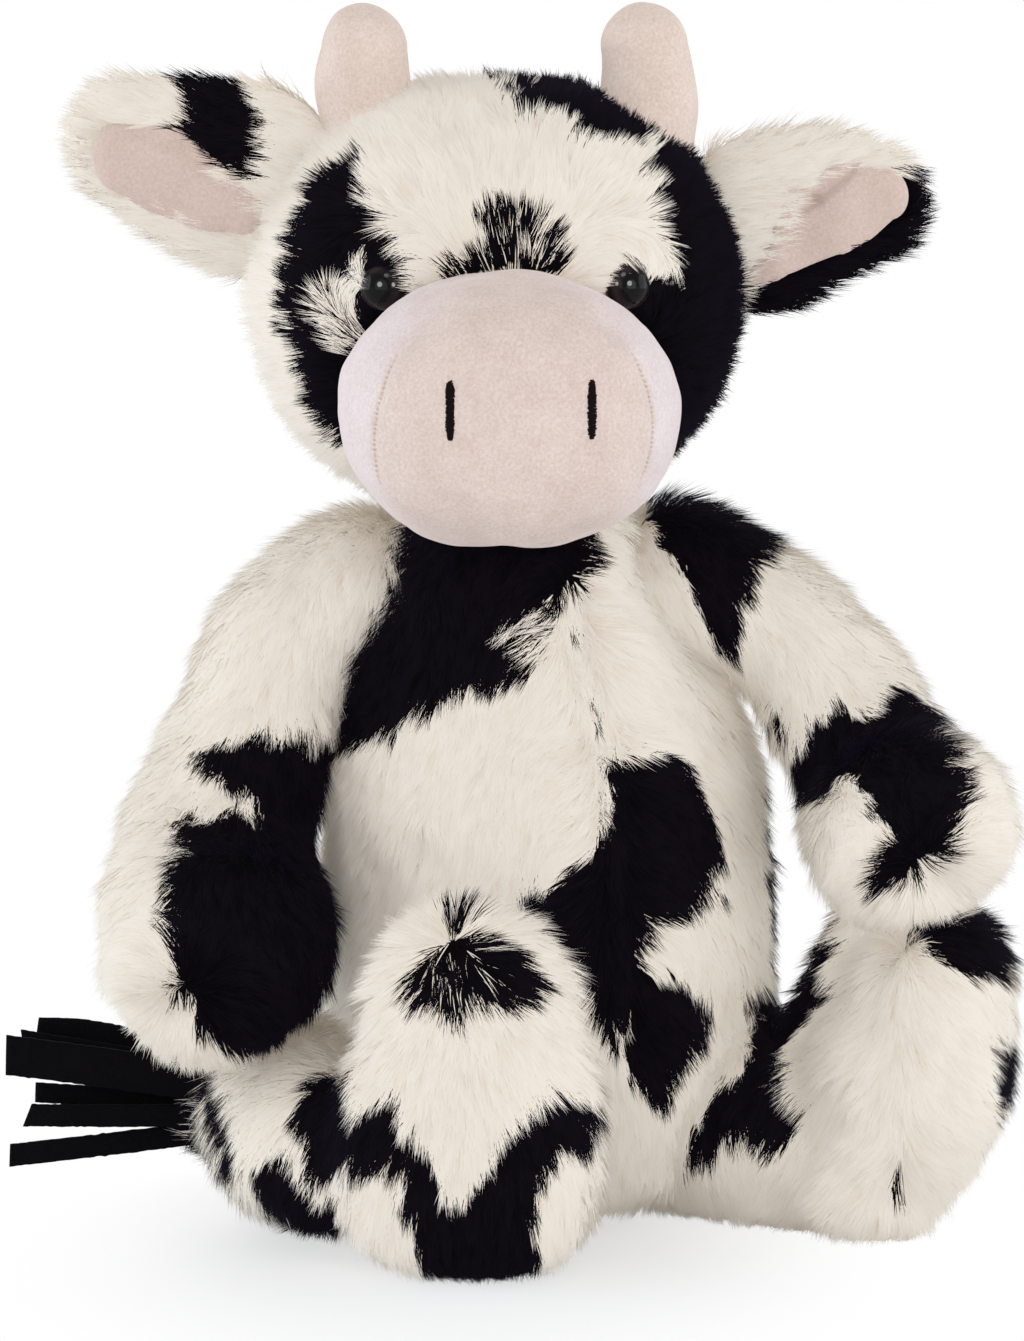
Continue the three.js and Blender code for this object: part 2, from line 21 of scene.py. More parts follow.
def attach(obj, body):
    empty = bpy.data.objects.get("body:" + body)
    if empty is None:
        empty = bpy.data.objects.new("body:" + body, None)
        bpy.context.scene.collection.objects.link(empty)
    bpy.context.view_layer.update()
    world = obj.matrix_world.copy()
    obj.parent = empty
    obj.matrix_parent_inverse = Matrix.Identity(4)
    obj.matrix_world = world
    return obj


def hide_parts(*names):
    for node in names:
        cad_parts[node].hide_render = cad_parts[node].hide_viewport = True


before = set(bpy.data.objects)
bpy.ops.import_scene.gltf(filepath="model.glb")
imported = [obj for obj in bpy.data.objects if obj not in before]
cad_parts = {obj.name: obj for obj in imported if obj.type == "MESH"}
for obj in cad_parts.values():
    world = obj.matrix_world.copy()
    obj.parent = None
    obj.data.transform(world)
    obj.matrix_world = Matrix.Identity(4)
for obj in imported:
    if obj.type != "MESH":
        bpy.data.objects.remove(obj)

Spot = tuple[float, float, float]  # a place, a direction, or a colour
Rows = tuple[tuple[float, ...], ...]  # a table of measures
Pixels = tuple[tuple[float, float], ...]  # places in the photograph's frame

log = logging.getLogger("plush_cow")
MM = 0.001
UP = np.array([0.0, 0.0, 1.0])
ACROSS = np.array([1.0, 0.0, 0.0])
BACK = np.array([0.0, 1.0, 0.0])


class Side(Enum):
    """The toy's own right and left."""

    RIGHT = -1
    LEFT = 1

    @property
    def word(self) -> str:
        """The side's name in a piece's name."""
        return self.name.lower()


class Dye(Enum):
    """The two colours of the pile."""

    CREAM = "cream"
    BLACK = "black"


# Numbers and noise


def unit(vectors: np.ndarray) -> np.ndarray:
    """Vectors at length one.

    Args:
        vectors: One vector, or rows of them.

    Returns:
        The same directions, each one long.
    """
    return vectors / np.maximum(np.linalg.norm(vectors, axis=-1, keepdims=True), 1e-9)


class Ripple:
    """Smooth noise made of seeded sine waves, mostly between -1 and 1."""

    def __init__(self, wavelength: float, seed: int, waves: int = 14) -> None:
        """Draws the waves.

        Args:
            wavelength: Typical distance between crests, in millimetres.
            seed: The draw's seed.
            waves: How many waves are summed.
        """
        draw = np.random.default_rng(seed)
        ways = unit(draw.normal(size=(waves, 3)))
        self.rates = ways * 2 * np.pi / wavelength * draw.uniform(0.6, 1.5, (waves, 1))
        self.phases = draw.uniform(0, 2 * np.pi, waves)

    def at(self, places: np.ndarray) -> np.ndarray:
        """The noise at each place.

        Args:
            places: Rows of places in millimetres.

        Returns:
            One value for each row.
        """
        waves = np.sin(places @ self.rates.T + self.phases)
        return waves.sum(1) / math.sqrt(len(self.phases))


def smooth_line(points: np.ndarray, share: float, ease: float = 0.5) -> np.ndarray:
    """The place at a share of the way along a smooth line through points.

    Args:
        points: Rows of points, or of values.
        share: From 0 at the first point to 1 at the last.
        ease: 0.5 keeps the line from overshooting at uneven points, and 0 takes them as even.

    Returns:
        The place on the line.
    """
    last = len(points) - 1
    spot = min(max(share, 0.0), 1.0) * last
    k = min(int(spot), last - 1)
    rest = spot - k
    one, two = points[k], points[k + 1]
    before = points[k - 1] if k else 2 * one - two
    after = points[k + 2] if k + 2 <= last else 2 * two - one
    pairs = ((before, one), (one, two), (two, after))
    steps = [np.linalg.norm(b - a) ** ease if ease else 1.0 for a, b in pairs]
    first, middle, third = (max(step, 1e-4) for step in steps)
    rate = (two - one) / middle
    leave = ((one - before) / first - (two - before) / (first + middle) + rate) * middle
    arrive = (rate - (after - one) / (middle + third) + (after - two) / third) * middle
    bend = -3 * one + 3 * two - 2 * leave - arrive
    return one + leave * rest + bend * rest**2 + (2 * one - 2 * two + leave + arrive) * rest**3


# The photograph's point of view


def put_in_scene(name: str, data: ID) -> Object:
    """Makes an object of a mesh, a lamp or a camera, and links it to the scene.

    Args:
        name: The object's name.
        data: What it shows.

    Returns:
        The object.
    """
    made = bpy.data.objects.new(name, data)
    bpy.context.scene.collection.objects.link(made)
    return made


def aim(seen: Object, place: np.ndarray, way: np.ndarray) -> None:
    """Moves a camera or a lamp, and turns it.

    Args:
        seen: The camera or the lamp.
        place: Its place in metres.
        way: The direction that it faces.
    """
    seen.location = Vector(place)
    seen.rotation_mode = "QUATERNION"
    seen.rotation_quaternion = Vector(way).to_track_quat("-Z", "Y")


@dataclass(frozen=True)
class Viewpoint:
    """Where the photograph is taken from: level with the toy's face, and a little above it."""

    target: Spot = (-6.6, 0.0, 110.0)
    distance: float = 1500.0
    elevation: float = 8.0
    pixel: float = 0.2  # size of a pixel at the target
    wide: int = 1024
    high: int = 1341
    sensor: float = 36.0

    @property
    def forward(self) -> np.ndarray:
        """The direction of sight."""
        tilt = math.radians(self.elevation)
        return np.array([0.0, math.cos(tilt), -math.sin(tilt)])

    @property
    def upward(self) -> np.ndarray:
        """The direction up the picture."""
        return np.cross(ACROSS, self.forward)

    @property
    def place(self) -> np.ndarray:
        """The lens's place."""
        return np.array(self.target) - self.distance * self.forward

    def pixels(self, places: np.ndarray) -> np.ndarray:
        """Where places show in the photograph.

        Args:
            places: Rows of places in millimetres.

        Returns:
            Rows of pixel places.
        """
        apart = places - self.place
        scale = self.distance / self.pixel / (apart @ self.forward)
        right, up = apart @ ACROSS * scale, apart @ self.upward * scale
        return np.stack([self.wide / 2 + right, self.high / 2 - up], axis=1)

    def lift(self, pixel: tuple[float, float], depth: float) -> np.ndarray:
        """The place that shows at a pixel and lies at a depth.

        Args:
            pixel: Place in the photograph.
            depth: The place's Y.

        Returns:
            The place in millimetres.
        """
        right = (pixel[0] - self.wide / 2) * self.pixel / self.distance
        rise = (self.high / 2 - pixel[1]) * self.pixel / self.distance
        way = self.forward + ACROSS * right + self.upward * rise
        return self.place + way * (depth - self.place[1]) / way[1]

    def land(self, pixel: tuple[float, float], tree: BVHTree) -> np.ndarray:
        """The place on a surface that shows at a pixel.

        Args:
            pixel: Place in the photograph.
            tree: The surface's search tree, in millimetres.

        Returns:
            The place in millimetres.
        """
        way = unit(self.lift(pixel, 0.0) - self.place)
        hit = tree.ray_cast(Vector(self.place), Vector(way))[0]
        if hit is None:
            hit = tree.find_nearest(Vector(self.lift(pixel, 0.0)))[0]
        return np.array(hit)

    def camera(self) -> None:
        """Makes the camera and gives it to the scene."""
        lens = bpy.data.cameras.new("camera")
        lens.sensor_width = self.sensor
        lens.lens = self.sensor * self.distance / (self.high * self.pixel)
        lens.clip_start = 0.05
        lens.clip_end = 60.0
        camera = put_in_scene("camera", lens)
        aim(camera, self.place * MM, self.forward)
        bpy.context.scene.camera = camera


VIEW = Viewpoint()


# Meshes


@dataclass
class Form:
    """A closed surface: rows of places in millimetres, and faces."""

    places: np.ndarray
    faces: list[tuple[int, ...]]

    def posed(self, pose: Matrix) -> "Form":
        """The same form moved by a pose in millimetres.

        Args:
            pose: The move.

        Returns:
            The moved form.
        """
        move = np.array(pose)
        return Form(self.places @ move[:3, :3].T + move[:3, 3], self.faces)


def loft(first: np.ndarray, rings: np.ndarray, last: np.ndarray) -> Form:
    """A closed surface through rings that starts and ends on a point.

    Args:
        first: The first tip.
        rings: Places as rings by sides by 3.
        last: The last tip.

    Returns:
        The form.
    """
    count, sides = rings.shape[:2]
    places = np.concatenate([[first], rings.reshape(-1, 3), [last]])
    faces: list[tuple[int, ...]] = []
    for k in range(sides):
        after = (k + 1) % sides
        faces.append((0, 1 + after, 1 + k))
        end = 1 + (count - 1) * sides
        faces.append((len(places) - 1, end + k, end + after))
        for ring in range(count - 1):
            low, high = 1 + ring * sides, 1 + (ring + 1) * sides
            faces.append((low + k, low + after, high + after, high + k))
    return Form(places, faces)


def ring_of(centre: np.ndarray, across: np.ndarray, deep: np.ndarray, sides: int) -> np.ndarray:
    """An elliptical ring.

    Args:
        centre: Its middle.
        across: Half its first axis.
        deep: Half its second axis.
        sides: Number of places.

    Returns:
        The ring's places.
    """
    turns = 2 * np.pi * np.arange(sides)[:, None] / sides
    return centre + across * np.cos(turns) + deep * np.sin(turns)


def bag(
    path: np.ndarray,
    widths: np.ndarray,
    depths: np.ndarray,
    side: np.ndarray,
    sides: int = 44,
    caps: int = 9,
    spans: int = 9,
) -> Form:
    """A stuffed bag along a path.

    Args:
        path: Points, of which the first and last are the tips.
        widths: Half sizes along side at the points between.
        depths: Half sizes across it at the same points.
        side: The direction that the widths lie along.
        sides: Places round each ring.
        caps: Rings in each round end.
        spans: Rings between two points.

    Returns:
        The bag's form.
    """
    gaps = len(path) - 1
    nudge = 1e-3  # of the path, to either side, which gives its direction
    turns = [math.pi / 2 * k / caps for k in range(1, caps)]
    first = [((1 - math.cos(turn)) / gaps, math.sin(turn)) for turn in turns]
    middle = [((1 + k / spans) / gaps, 1.0) for k in range((gaps - 2) * spans + 1)]
    last = [(1 - share, swell) for share, swell in reversed(first)]
    rings = []
    for share, swell in first + middle + last:
        inner = min(1.0, max(0.0, (share * gaps - 1) / (gaps - 2)))
        way = unit(smooth_line(path, share + nudge) - smooth_line(path, share - nudge))
        across = unit(side - way * (side @ way))
        deep = np.cross(way, across)
        wide = smooth_line(widths[:, None], inner, 0)[0] * swell
        thick = smooth_line(depths[:, None], inner, 0)[0] * swell
        rings.append(ring_of(smooth_line(path, share), across * wide, deep * thick, sides))
    return loft(path[0], np.array(rings), path[-1])


def smoothed_rings(rows: np.ndarray, count: int) -> np.ndarray:
    """More rows on a smooth line through rows of shares.

    Args:
        rows: Rows of shares.
        count: How many rows to give.

    Returns:
        The rows.
    """
    return np.array([smooth_line(rows, k / (count - 1)) for k in range(count)])


def mesh_of(name: str, form: Form) -> Object:
    """An object with a form's mesh, shaded smooth.

    Args:
        name: The object's name.
        form: Its surface in millimetres.

    Returns:
        The object, linked to the scene.
    """
    mesh = bpy.data.meshes.new(name)
    mesh.from_pydata((form.places * MM).tolist(), [], form.faces)
    mesh.polygons.foreach_set("use_smooth", np.ones(len(mesh.polygons), bool))
    mesh.update()
    return put_in_scene(name, mesh)


def places_of(mesh: Mesh) -> np.ndarray:
    """A mesh's places in millimetres.

    Args:
        mesh: The mesh.

    Returns:
        Rows of places.
    """
    flat = np.zeros(len(mesh.vertices) * 3, np.float32)
    mesh.vertices.foreach_get("co", flat)
    return flat.reshape(-1, 3).astype(float) / MM


def normals_of(mesh: Mesh) -> np.ndarray:
    """A mesh's vertex normals.

    Args:
        mesh: The mesh.

    Returns:
        Rows of normals.
    """
    flat = np.zeros(len(mesh.vertices) * 3, np.float32)
    mesh.vertex_normals.foreach_get("vector", flat)
    return flat.reshape(-1, 3).astype(float)


def move_places(mesh: Mesh, places: np.ndarray) -> None:
    """Gives a mesh new places.

    Args:
        mesh: The mesh.
        places: Rows of places in millimetres.
    """
    mesh.vertices.foreach_set("co", (places * MM).astype(np.float32).ravel())
    mesh.update()


def write_values(mesh: Mesh, name: str, values: np.ndarray) -> None:
    """Writes a number on each vertex, for a material to read.

    Args:
        mesh: The mesh.
        name: The attribute's name.
        values: One value for each vertex.
    """
    made = mesh.attributes.new(name, "FLOAT", "POINT")
    made.data.foreach_set("value", values.astype(np.float32))


@dataclass(frozen=True)
class Dent:
    """A gather, or a sewn line, that draws the cloth in."""

    start: np.ndarray
    end: np.ndarray
    depth: float
    radius: float

    def pull(self, places: np.ndarray) -> np.ndarray:
        """How far each place is drawn in.

        Args:
            places: Rows of places in millimetres.

        Returns:
            Depths in millimetres.
        """
        gaps = np.linalg.norm(places - nearest_on(self.start, self.end, places), axis=1)
        return self.depth * np.exp(-((gaps / self.radius) ** 2))


@dataclass(frozen=True)
class Gather:
    """A stitched point or line in the photograph, which draws in the cloth and parts the pile."""

    pixels: Pixels
    depth: float = 1.5  # of the dent
    radius: float = 2.6
    strength: float = 1.0  # of the combing away from it
    reach: float = 14.0

    def stretches(self, forms: list[Form]) -> list[tuple[np.ndarray, np.ndarray]]:
        """The line's stretches on a bag.

        Args:
            forms: The bag's outside.

        Returns:
            Starts and ends in millimetres.
        """
        whole = joined(forms)
        tree = BVHTree.FromPolygons(whole.places.tolist(), whole.faces)
        spots = [VIEW.land(pixel, tree) for pixel in self.pixels]
        return list(zip(spots, spots[1:] or spots))

    def dents(self, forms: list[Form]) -> tuple[Dent, ...]:
        """The dents along it, on a bag made of these forms."""
        return tuple(Dent(*ends, self.depth, self.radius) for ends in self.stretches(forms))

    def whorls(self, forms: list[Form]) -> tuple["Whorl", ...]:
        """What parts the pile along it, on a bag made of these forms."""
        return tuple(Whorl(*ends, self.strength, self.reach) for ends in self.stretches(forms))


def joined(forms: list[Form]) -> Form:
    """Several surfaces as one.

    Args:
        forms: The surfaces.

    Returns:
        One form with all their places and faces.
    """
    offset, faces = 0, []
    for form in forms:
        faces += [tuple(k + offset for k in face) for face in form.faces]
        offset += len(form.places)
    return Form(np.concatenate([form.places for form in forms]), faces)


def nearest_on(start: np.ndarray, end: np.ndarray, places: np.ndarray) -> np.ndarray:
    """The nearest place on a line from start to end.

    Args:
        start: The line's start.
        end: Its end, which may be its start.
        places: Rows of places.

    Returns:
        Rows of places on the line.
    """
    way = end - start
    share = np.clip((places - start) @ way / max(way @ way, 1e-9), 0, 1)
    return start + share[:, None] * way


LUMPS = ((26.0, 0), (9.0, 50))  # sizes of the broad and the fine lumps, and what their seeds add
FINE_SHARE = 0.4  # height of the fine lumps, as a share of the broad ones'


def plush(
    name: str,
    forms: list[Form],
    depth: float,
    dents: tuple[Dent, ...] = (),
    lump: float = 0.5,
    voxel: float = 1.7,
    floor: float = 0.5,
    seed: int = 1,
) -> Object:
    """The cloth bag under the pile: forms grown together, slightly lumpy, and drawn in at seams.

    Args:
        name: The piece's name.
        forms: Closed surfaces at the pile's outside.
        depth: How far the cloth lies under the pile's outside.
        dents: Gathers and sewn lines.
        lump: Height of the stuffing's lumps.
        voxel: Size of the mesh's faces.
        floor: Lowest height of the cloth.
        seed: The lumps' seed.

    Returns:
        The bag.
    """
    made = mesh_of(name, joined(forms))
    remesh = made.modifiers.new("remesh", "REMESH")
    remesh.mode = "VOXEL"
    remesh.voxel_size = voxel * MM
    remesh.use_smooth_shade = True
    relax = made.modifiers.new("relax", "SMOOTH")
    relax.factor = 0.5
    relax.iterations = 4
    seen = made.evaluated_get(bpy.context.evaluated_depsgraph_get())
    mesh = bpy.data.meshes.new_from_object(seen)
    made.modifiers.clear()
    made.data = mesh
    mesh.name = name
    spots, normals = places_of(mesh), normals_of(mesh)
    broad, fine = (Ripple(size, seed + more).at(spots) for size, more in LUMPS)
    inward = depth - lump * broad - FINE_SHARE * lump * fine
    for dent in dents:
        inward = inward + dent.pull(spots)
    spots = spots - normals * inward[:, None]
    spots[:, 2] = np.maximum(spots[:, 2], floor)
    move_places(mesh, spots)
    return made


# Colours and nodes

STRAND_MAP = "OFBake"  # its width holds a strand's tone, and its height the way from foot to tip
DYE_NAME = "dye"  # share of black on the cloth
SEAM_NAME = "seam"  # 0 on the muzzle's side panels, half on its middle one, and 1 on a stitch
RIM_NAME = "rim"  # 0 in an eye's middle, and 1 at its rim


def linear(code: str) -> tuple[float, float, float, float]:
    """A linear colour from an sRGB hex value.

    Args:
        code: Six hex digits.

    Returns:
        Red, green, blue and one.
    """
    shares = [int(code[k : k + 2], 16) / 255 for k in (0, 2, 4)]
    red, green, blue = (c / 12.92 if c <= 0.04045 else ((c + 0.055) / 1.055) ** 2.4 for c in shares)
    return red, green, blue, 1.0


def add_node(tree: NodeTree, kind: str, links: dict | None = None, **settings: object) -> Node:
    """Adds a node with its settings and links.

    Args:
        tree: The node tree.
        kind: The node's type.
        links: Input names or numbers, each with a socket to link or a value to set.
        **settings: The node's own properties.

    Returns:
        The node.
    """
    node = tree.nodes.new(kind)
    for key, value in settings.items():
        setattr(node, key, value)
    for key, value in (links or {}).items():
        if isinstance(value, NodeSocket):
            tree.links.new(value, node.inputs[key])
        else:
            node.inputs[key].default_value = value
    return node


def ramp(tree: NodeTree, value: NodeSocket, stops: list[tuple[float, str]]) -> NodeSocket:
    """A colour ramp through hex colours.

    Args:
        tree: The node tree.
        value: What picks the colour.
        stops: Places from 0 to 1, each with its colour.

    Returns:
        The colour's socket.
    """
    node = add_node(tree, "ShaderNodeValToRGB", {"Fac": value})
    colours = node.color_ramp.elements
    colours[0].position, colours[0].color = stops[0][0], linear(stops[0][1])
    colours[1].position, colours[1].color = stops[-1][0], linear(stops[-1][1])
    for place, code in stops[1:-1]:
        colours.new(place).color = linear(code)
    return node.outputs["Color"]


def tinted(tree: NodeTree, colour: NodeSocket, tint: NodeSocket) -> NodeSocket:
    """One colour multiplied by another.

    Args:
        tree: The node tree.
        colour: The first colour.
        tint: The second.

    Returns:
        The product's socket.
    """
    both = add_node(tree, "ShaderNodeMix", {"Factor": 1.0}, data_type="RGBA", blend_type="MULTIPLY")
    for key, value in (("A", colour), ("B", tint)):
        tree.links.new(value, next(s for s in both.inputs if s.name == key and s.type == "RGBA"))
    return next(s for s in both.outputs if s.type == "RGBA")


def finish_with(material: Material, colour: NodeSocket, **sockets: object) -> None:
    """Ends a material in a Principled shader.

    Args:
        material: The material.
        colour: What feeds its base colour.
        **sockets: Values for its other sockets, with underscores for spaces.
    """
    links = {key.replace("_", " "): value for key, value in sockets.items()}
    links["Base Color"] = colour
    tree = material.node_tree
    shader = add_node(tree, "ShaderNodeBsdfPrincipled", links, label=material.name)
    add_node(tree, "ShaderNodeOutputMaterial", {"Surface": shader.outputs["BSDF"]})


def new_material(name: str) -> Material:
    """An empty node material.

    Args:
        name: Its name.

    Returns:
        The material.
    """
    made = bpy.data.materials.new(name)
    made.use_nodes = True
    made.node_tree.nodes.clear()
    return made


@dataclass(frozen=True)
class FurPile:
    """Combed polyester pile, with painted shade at each strand's foot and painted light at its tip.
    """

    dye: Dye
    # root, body and tip: colours along a strand; root holds painted shade and tip a painted
    # highlight
    root: str
    body: str
    tip: str
    dim: str  # what the darkest strand is multiplied by
    bright: str  # what the lightest is
    sheen: float
    sheen_tint: str
    gloss: float
    roughness: float = 0.85
    ior: float = 1.45

    def material(self) -> Material:
        """A strand's map changes its colour from foot to tip, from painted shade to painted light,
        and each strand has its own tone.

        Returns:
            The material.
        """
        made = new_material(f"polyester_pile_{self.dye.value}")
        tree = made.node_tree
        place = add_node(tree, "ShaderNodeUVMap", uv_map=STRAND_MAP)
        parts = add_node(tree, "ShaderNodeSeparateXYZ", {"Vector": place.outputs["UV"]})
        # painted shade at the strand's foot, brightening to painted light at its tip
        foot_shade_to_tip_glow = [(0.0, self.root), (0.45, self.body), (1.0, self.tip)]
        tones = [(0.0, self.dim), (0.55, "ffffff"), (1.0, self.bright)]
        along = ramp(tree, parts.outputs["Y"], foot_shade_to_tip_glow)
        tone = ramp(tree, parts.outputs["X"], tones)
        finish_with(
            made,
            tinted(tree, along, tone),
            Roughness=self.roughness,
            IOR=self.ior,
            Specular_IOR_Level=self.gloss,
            Sheen_Weight=self.sheen,
            Sheen_Roughness=0.5,
            Sheen_Tint=linear(self.sheen_tint),
        )
        return made


# each pile's root colour holds painted shade, and its tip colour painted light
PILES = (
    FurPile(
        Dye.CREAM,
        root="dfd5c8",
        body="e4dbcf",
        tip="e7e1d8",
        dim="f4efe8",
        bright="ffffff",
        sheen=0.05,
        sheen_tint="fff6ec",
        gloss=0.07,
    ),
    FurPile(
        Dye.BLACK,
        root="020103",
        body="08050a",
        tip="100b15",
        dim="9a969c",
        bright="ffffff",
        sheen=0.035,
        sheen_tint="8878b0",
        gloss=0.03,
    ),
)


@dataclass(frozen=True)
class FurBacking:
    """Knitted polyester backing and its pile's dense foot. It gives the shade between strands."""

    cream: str = "e0d7ca"
    black: str = "030204"
    fibre: float = 0.7  # spacing of the foot's tufts, in millimetres

    def material(self) -> Material:
        """The dye comes from the cloth's own attribute, and fine noise roughs it up.

        Returns:
            The material.
        """
        made = new_material("knitted_fur_backing")
        tree = made.node_tree
        dye = add_node(tree, "ShaderNodeAttribute", attribute_name=DYE_NAME)
        place = add_node(tree, "ShaderNodeTexCoord")
        spread = {"Scale": 1 / (self.fibre * MM), "Detail": 3.0, "Roughness": 0.6}
        tufts = add_node(
            tree, "ShaderNodeTexNoise", {"Vector": place.outputs["Object"], **spread}
        ).outputs["Fac"]
        colour = ramp(tree, dye.outputs["Fac"], [(0.35, self.cream), (0.65, self.black)])
        shade = ramp(tree, tufts, [(0.25, "e4e0d8"), (0.75, "ffffff")])
        rough = {"Height": tufts, "Strength": 0.7, "Distance": self.fibre * MM}
        finish_with(
            made,
            tinted(tree, colour, shade),
            Roughness=0.95,
            Specular_IOR_Level=0.05,
            Normal=add_node(tree, "ShaderNodeBump", rough).outputs["Normal"],
        )
        return made


@dataclass(frozen=True)
class Microsuede:
    """Brushed microfibre suede. Its nap mottles the colour in grains, and its edges catch light."""

    name: str
    low: str
    high: str
    grain: float = 0.6  # size of the nap's grains, in millimetres
    lift: float = 0.16  # how far they stand up
    cloud: float = 0.26  # share of the broad mottling
    cloud_grains: float = 14.0  # grains across one broad cloud
    sheen: float = 0.35
    sheen_tint: str = "fff4ee"
    gloss: float = 0.07

    def material(self) -> Material:
        """Two scales of noise mottle the colour, and the finer one lifts the nap.

        Returns:
            The material.
        """
        made = new_material(self.name)
        tree = made.node_tree
        place = add_node(tree, "ShaderNodeTexCoord").outputs["Object"]
        grains = {"Scale": 1 / (self.grain * MM), "Detail": 4.0, "Roughness": 0.65}
        clouds = {"Scale": 1 / (self.cloud_grains * self.grain * MM), "Detail": 2.0}
        fine, broad = (
            add_node(tree, "ShaderNodeTexNoise", {"Vector": place, **spread}).outputs["Fac"]
            for spread in (grains, clouds)
        )
        blend = add_node(tree, "ShaderNodeMix", {0: self.cloud, 2: fine, 3: broad})
        colour = ramp(tree, blend.outputs[0], [(0.32, self.low), (0.68, self.high)])
        sewn = add_node(tree, "ShaderNodeAttribute", attribute_name=SEAM_NAME)
        shade = ramp(tree, sewn.outputs["Fac"], [(0.0, "ffffff"), (0.5, "f8f2e8"), (1.0, "bfaea4")])
        nap = {"Height": fine, "Strength": 0.5, "Distance": self.lift * MM}
        finish_with(
            made,
            tinted(tree, colour, shade),
            Roughness=0.92,
            Specular_IOR_Level=self.gloss,
            Sheen_Weight=self.sheen,
            Sheen_Roughness=0.4,
            Sheen_Tint=linear(self.sheen_tint),
            Normal=add_node(tree, "ShaderNodeBump", nap).outputs["Normal"],
        )
        return made


@dataclass(frozen=True)
class SatinThread:
    """Twisted polyester embroidery thread. Each lay shows a soft line of light on near black."""

    # low is the painted shade in the plies' grooves, and high the painted light on their ridges
    low: str = "060304"
    high: str = "150c0c"
    ply: float = 0.25  # half the spacing of the waves, in millimetres
    turn: float = 6.28  # brings the wave texture's own unit to two plies a wave

    def material(self) -> Material:
        """Fine waves of painted light and shade across the thread show how its plies turn.

        Returns:
            The material.
        """
        made = new_material("satin_stitch_thread")
        tree = made.node_tree
        place = add_node(tree, "ShaderNodeTexCoord").outputs["Object"]
        waves = {"Vector": place, "Scale": 1 / (self.ply * MM * self.turn), "Distortion": 2.0}
        painted_ply_light = add_node(tree, "ShaderNodeTexWave", waves)
        colour = ramp(tree, painted_ply_light.outputs["Fac"], [(0.2, self.low), (0.9, self.high)])
        finish_with(made, colour, Roughness=0.6, Specular_IOR_Level=0.05)
        return made


@dataclass(frozen=True)
class EyeAcrylic:
    """Moulded acrylic, brown-black in its depth. It mirrors the lamps as small round lights."""

    centre: str = "040202"
    ring: str = "2a2024"

    def material(self) -> Material:
        """A paler ring lies between the middle of the dome and its rim.

        Returns:
            The material.
        """
        made = new_material("moulded_acrylic_eye")
        tree = made.node_tree
        rim = add_node(tree, "ShaderNodeAttribute", attribute_name=RIM_NAME)
        stops = [(0.0, self.centre), (0.6, self.centre), (0.85, self.ring), (1.0, self.centre)]
        colour = ramp(tree, rim.outputs["Fac"], stops)
        finish_with(made, colour, Roughness=0.06, IOR=1.49, Specular_IOR_Level=0.17)
        return made


@dataclass(frozen=True)
class WasherNylon:
    """Moulded natural nylon, milky and slightly waxy."""

    low: str = "d8d6cc"
    high: str = "efeee6"
    cloud: float = 3.0  # size of the flow marks, in millimetres

    def material(self) -> Material:
        """Flow marks of the moulding show as faint clouds.

        Returns:
            The material.
        """
        made = new_material("moulded_nylon_washer")
        tree = made.node_tree
        place = add_node(tree, "ShaderNodeTexCoord").outputs["Object"]
        flow = {"Vector": place, "Scale": 1 / (self.cloud * MM)}
        marks = add_node(tree, "ShaderNodeTexNoise", flow)
        colour = ramp(tree, marks.outputs["Fac"], [(0.3, self.low), (0.7, self.high)])
        finish_with(made, colour, Roughness=0.4, IOR=1.53)
        return made


MUZZLE_SUEDE = Microsuede("brushed_microsuede_pink", "cabab8", "e2d8da")
HORN_SUEDE = Microsuede("brushed_microsuede_beige", "c8b4a8", "dfcfc5")
LINING_SUEDE = Microsuede("brushed_microsuede_lining", "bea89e", "d2bfb5")
TASSEL_SUEDE = Microsuede(
    "cut_microsuede_black", "040305", "0c0a0e", sheen=0.03, sheen_tint="9a9ab0", gloss=0.05
)


def dress(piece: Object, material: Material, body: str) -> None:
    """Gives a piece its material and body.

    Args:
        piece: The piece.
        material: Its material.
        body: The body that it rides on.
    """
    piece.data.materials.clear()
    piece.data.materials.append(material)
    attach(piece, body)
    log.info("%s rides on %s, %d faces", piece.name, body, len(piece.data.polygons))


# The coat's pattern


def inside(outline: np.ndarray, spots: np.ndarray) -> np.ndarray:
    """Which spots lie inside an outline.

    Args:
        outline: Rows of corners.
        spots: Rows of places in the same plane.

    Returns:
        True for each spot inside.
    """
    crossings = np.zeros(len(spots), int)
    for (x1, y1), (x2, y2) in zip(outline, np.roll(outline, -1, axis=0)):
        if y1 == y2:
            continue
        spans = (spots[:, 1] >= min(y1, y2)) & (spots[:, 1] < max(y1, y2))
        meets = x1 + (spots[:, 1] - y1) * (x2 - x1) / (y2 - y1)
        crossings += spans & (spots[:, 0] < meets)
    return crossings % 2 == 1


@dataclass(frozen=True)
class Patch:
    """Dye inside an outline of pixels, on the side of the toy that the photograph shows."""

    outline: Pixels
    dye: Dye = Dye.BLACK
    share: float = 1.0  # of the strands inside that take the dye
    back: float = 12.0  # how far back the dye reaches, as a Y

    def cover(self, places: np.ndarray, pixels: np.ndarray) -> np.ndarray:
        """Which places the patch covers."""
        return inside(np.array(self.outline, float), pixels) & (places[:, 1] < self.back)


@dataclass(frozen=True)
class Blot:
    """Dye inside an ellipsoid, on the sides that the photograph doesn't show."""

    middle: Spot
    radii: Spot
    dye: Dye = Dye.BLACK
    share: float = 1.0

    def cover(self, places: np.ndarray, pixels: np.ndarray) -> np.ndarray:
        """Which places the blot covers."""
        return (((places - np.array(self.middle)) / np.array(self.radii)) ** 2).sum(1) < 1


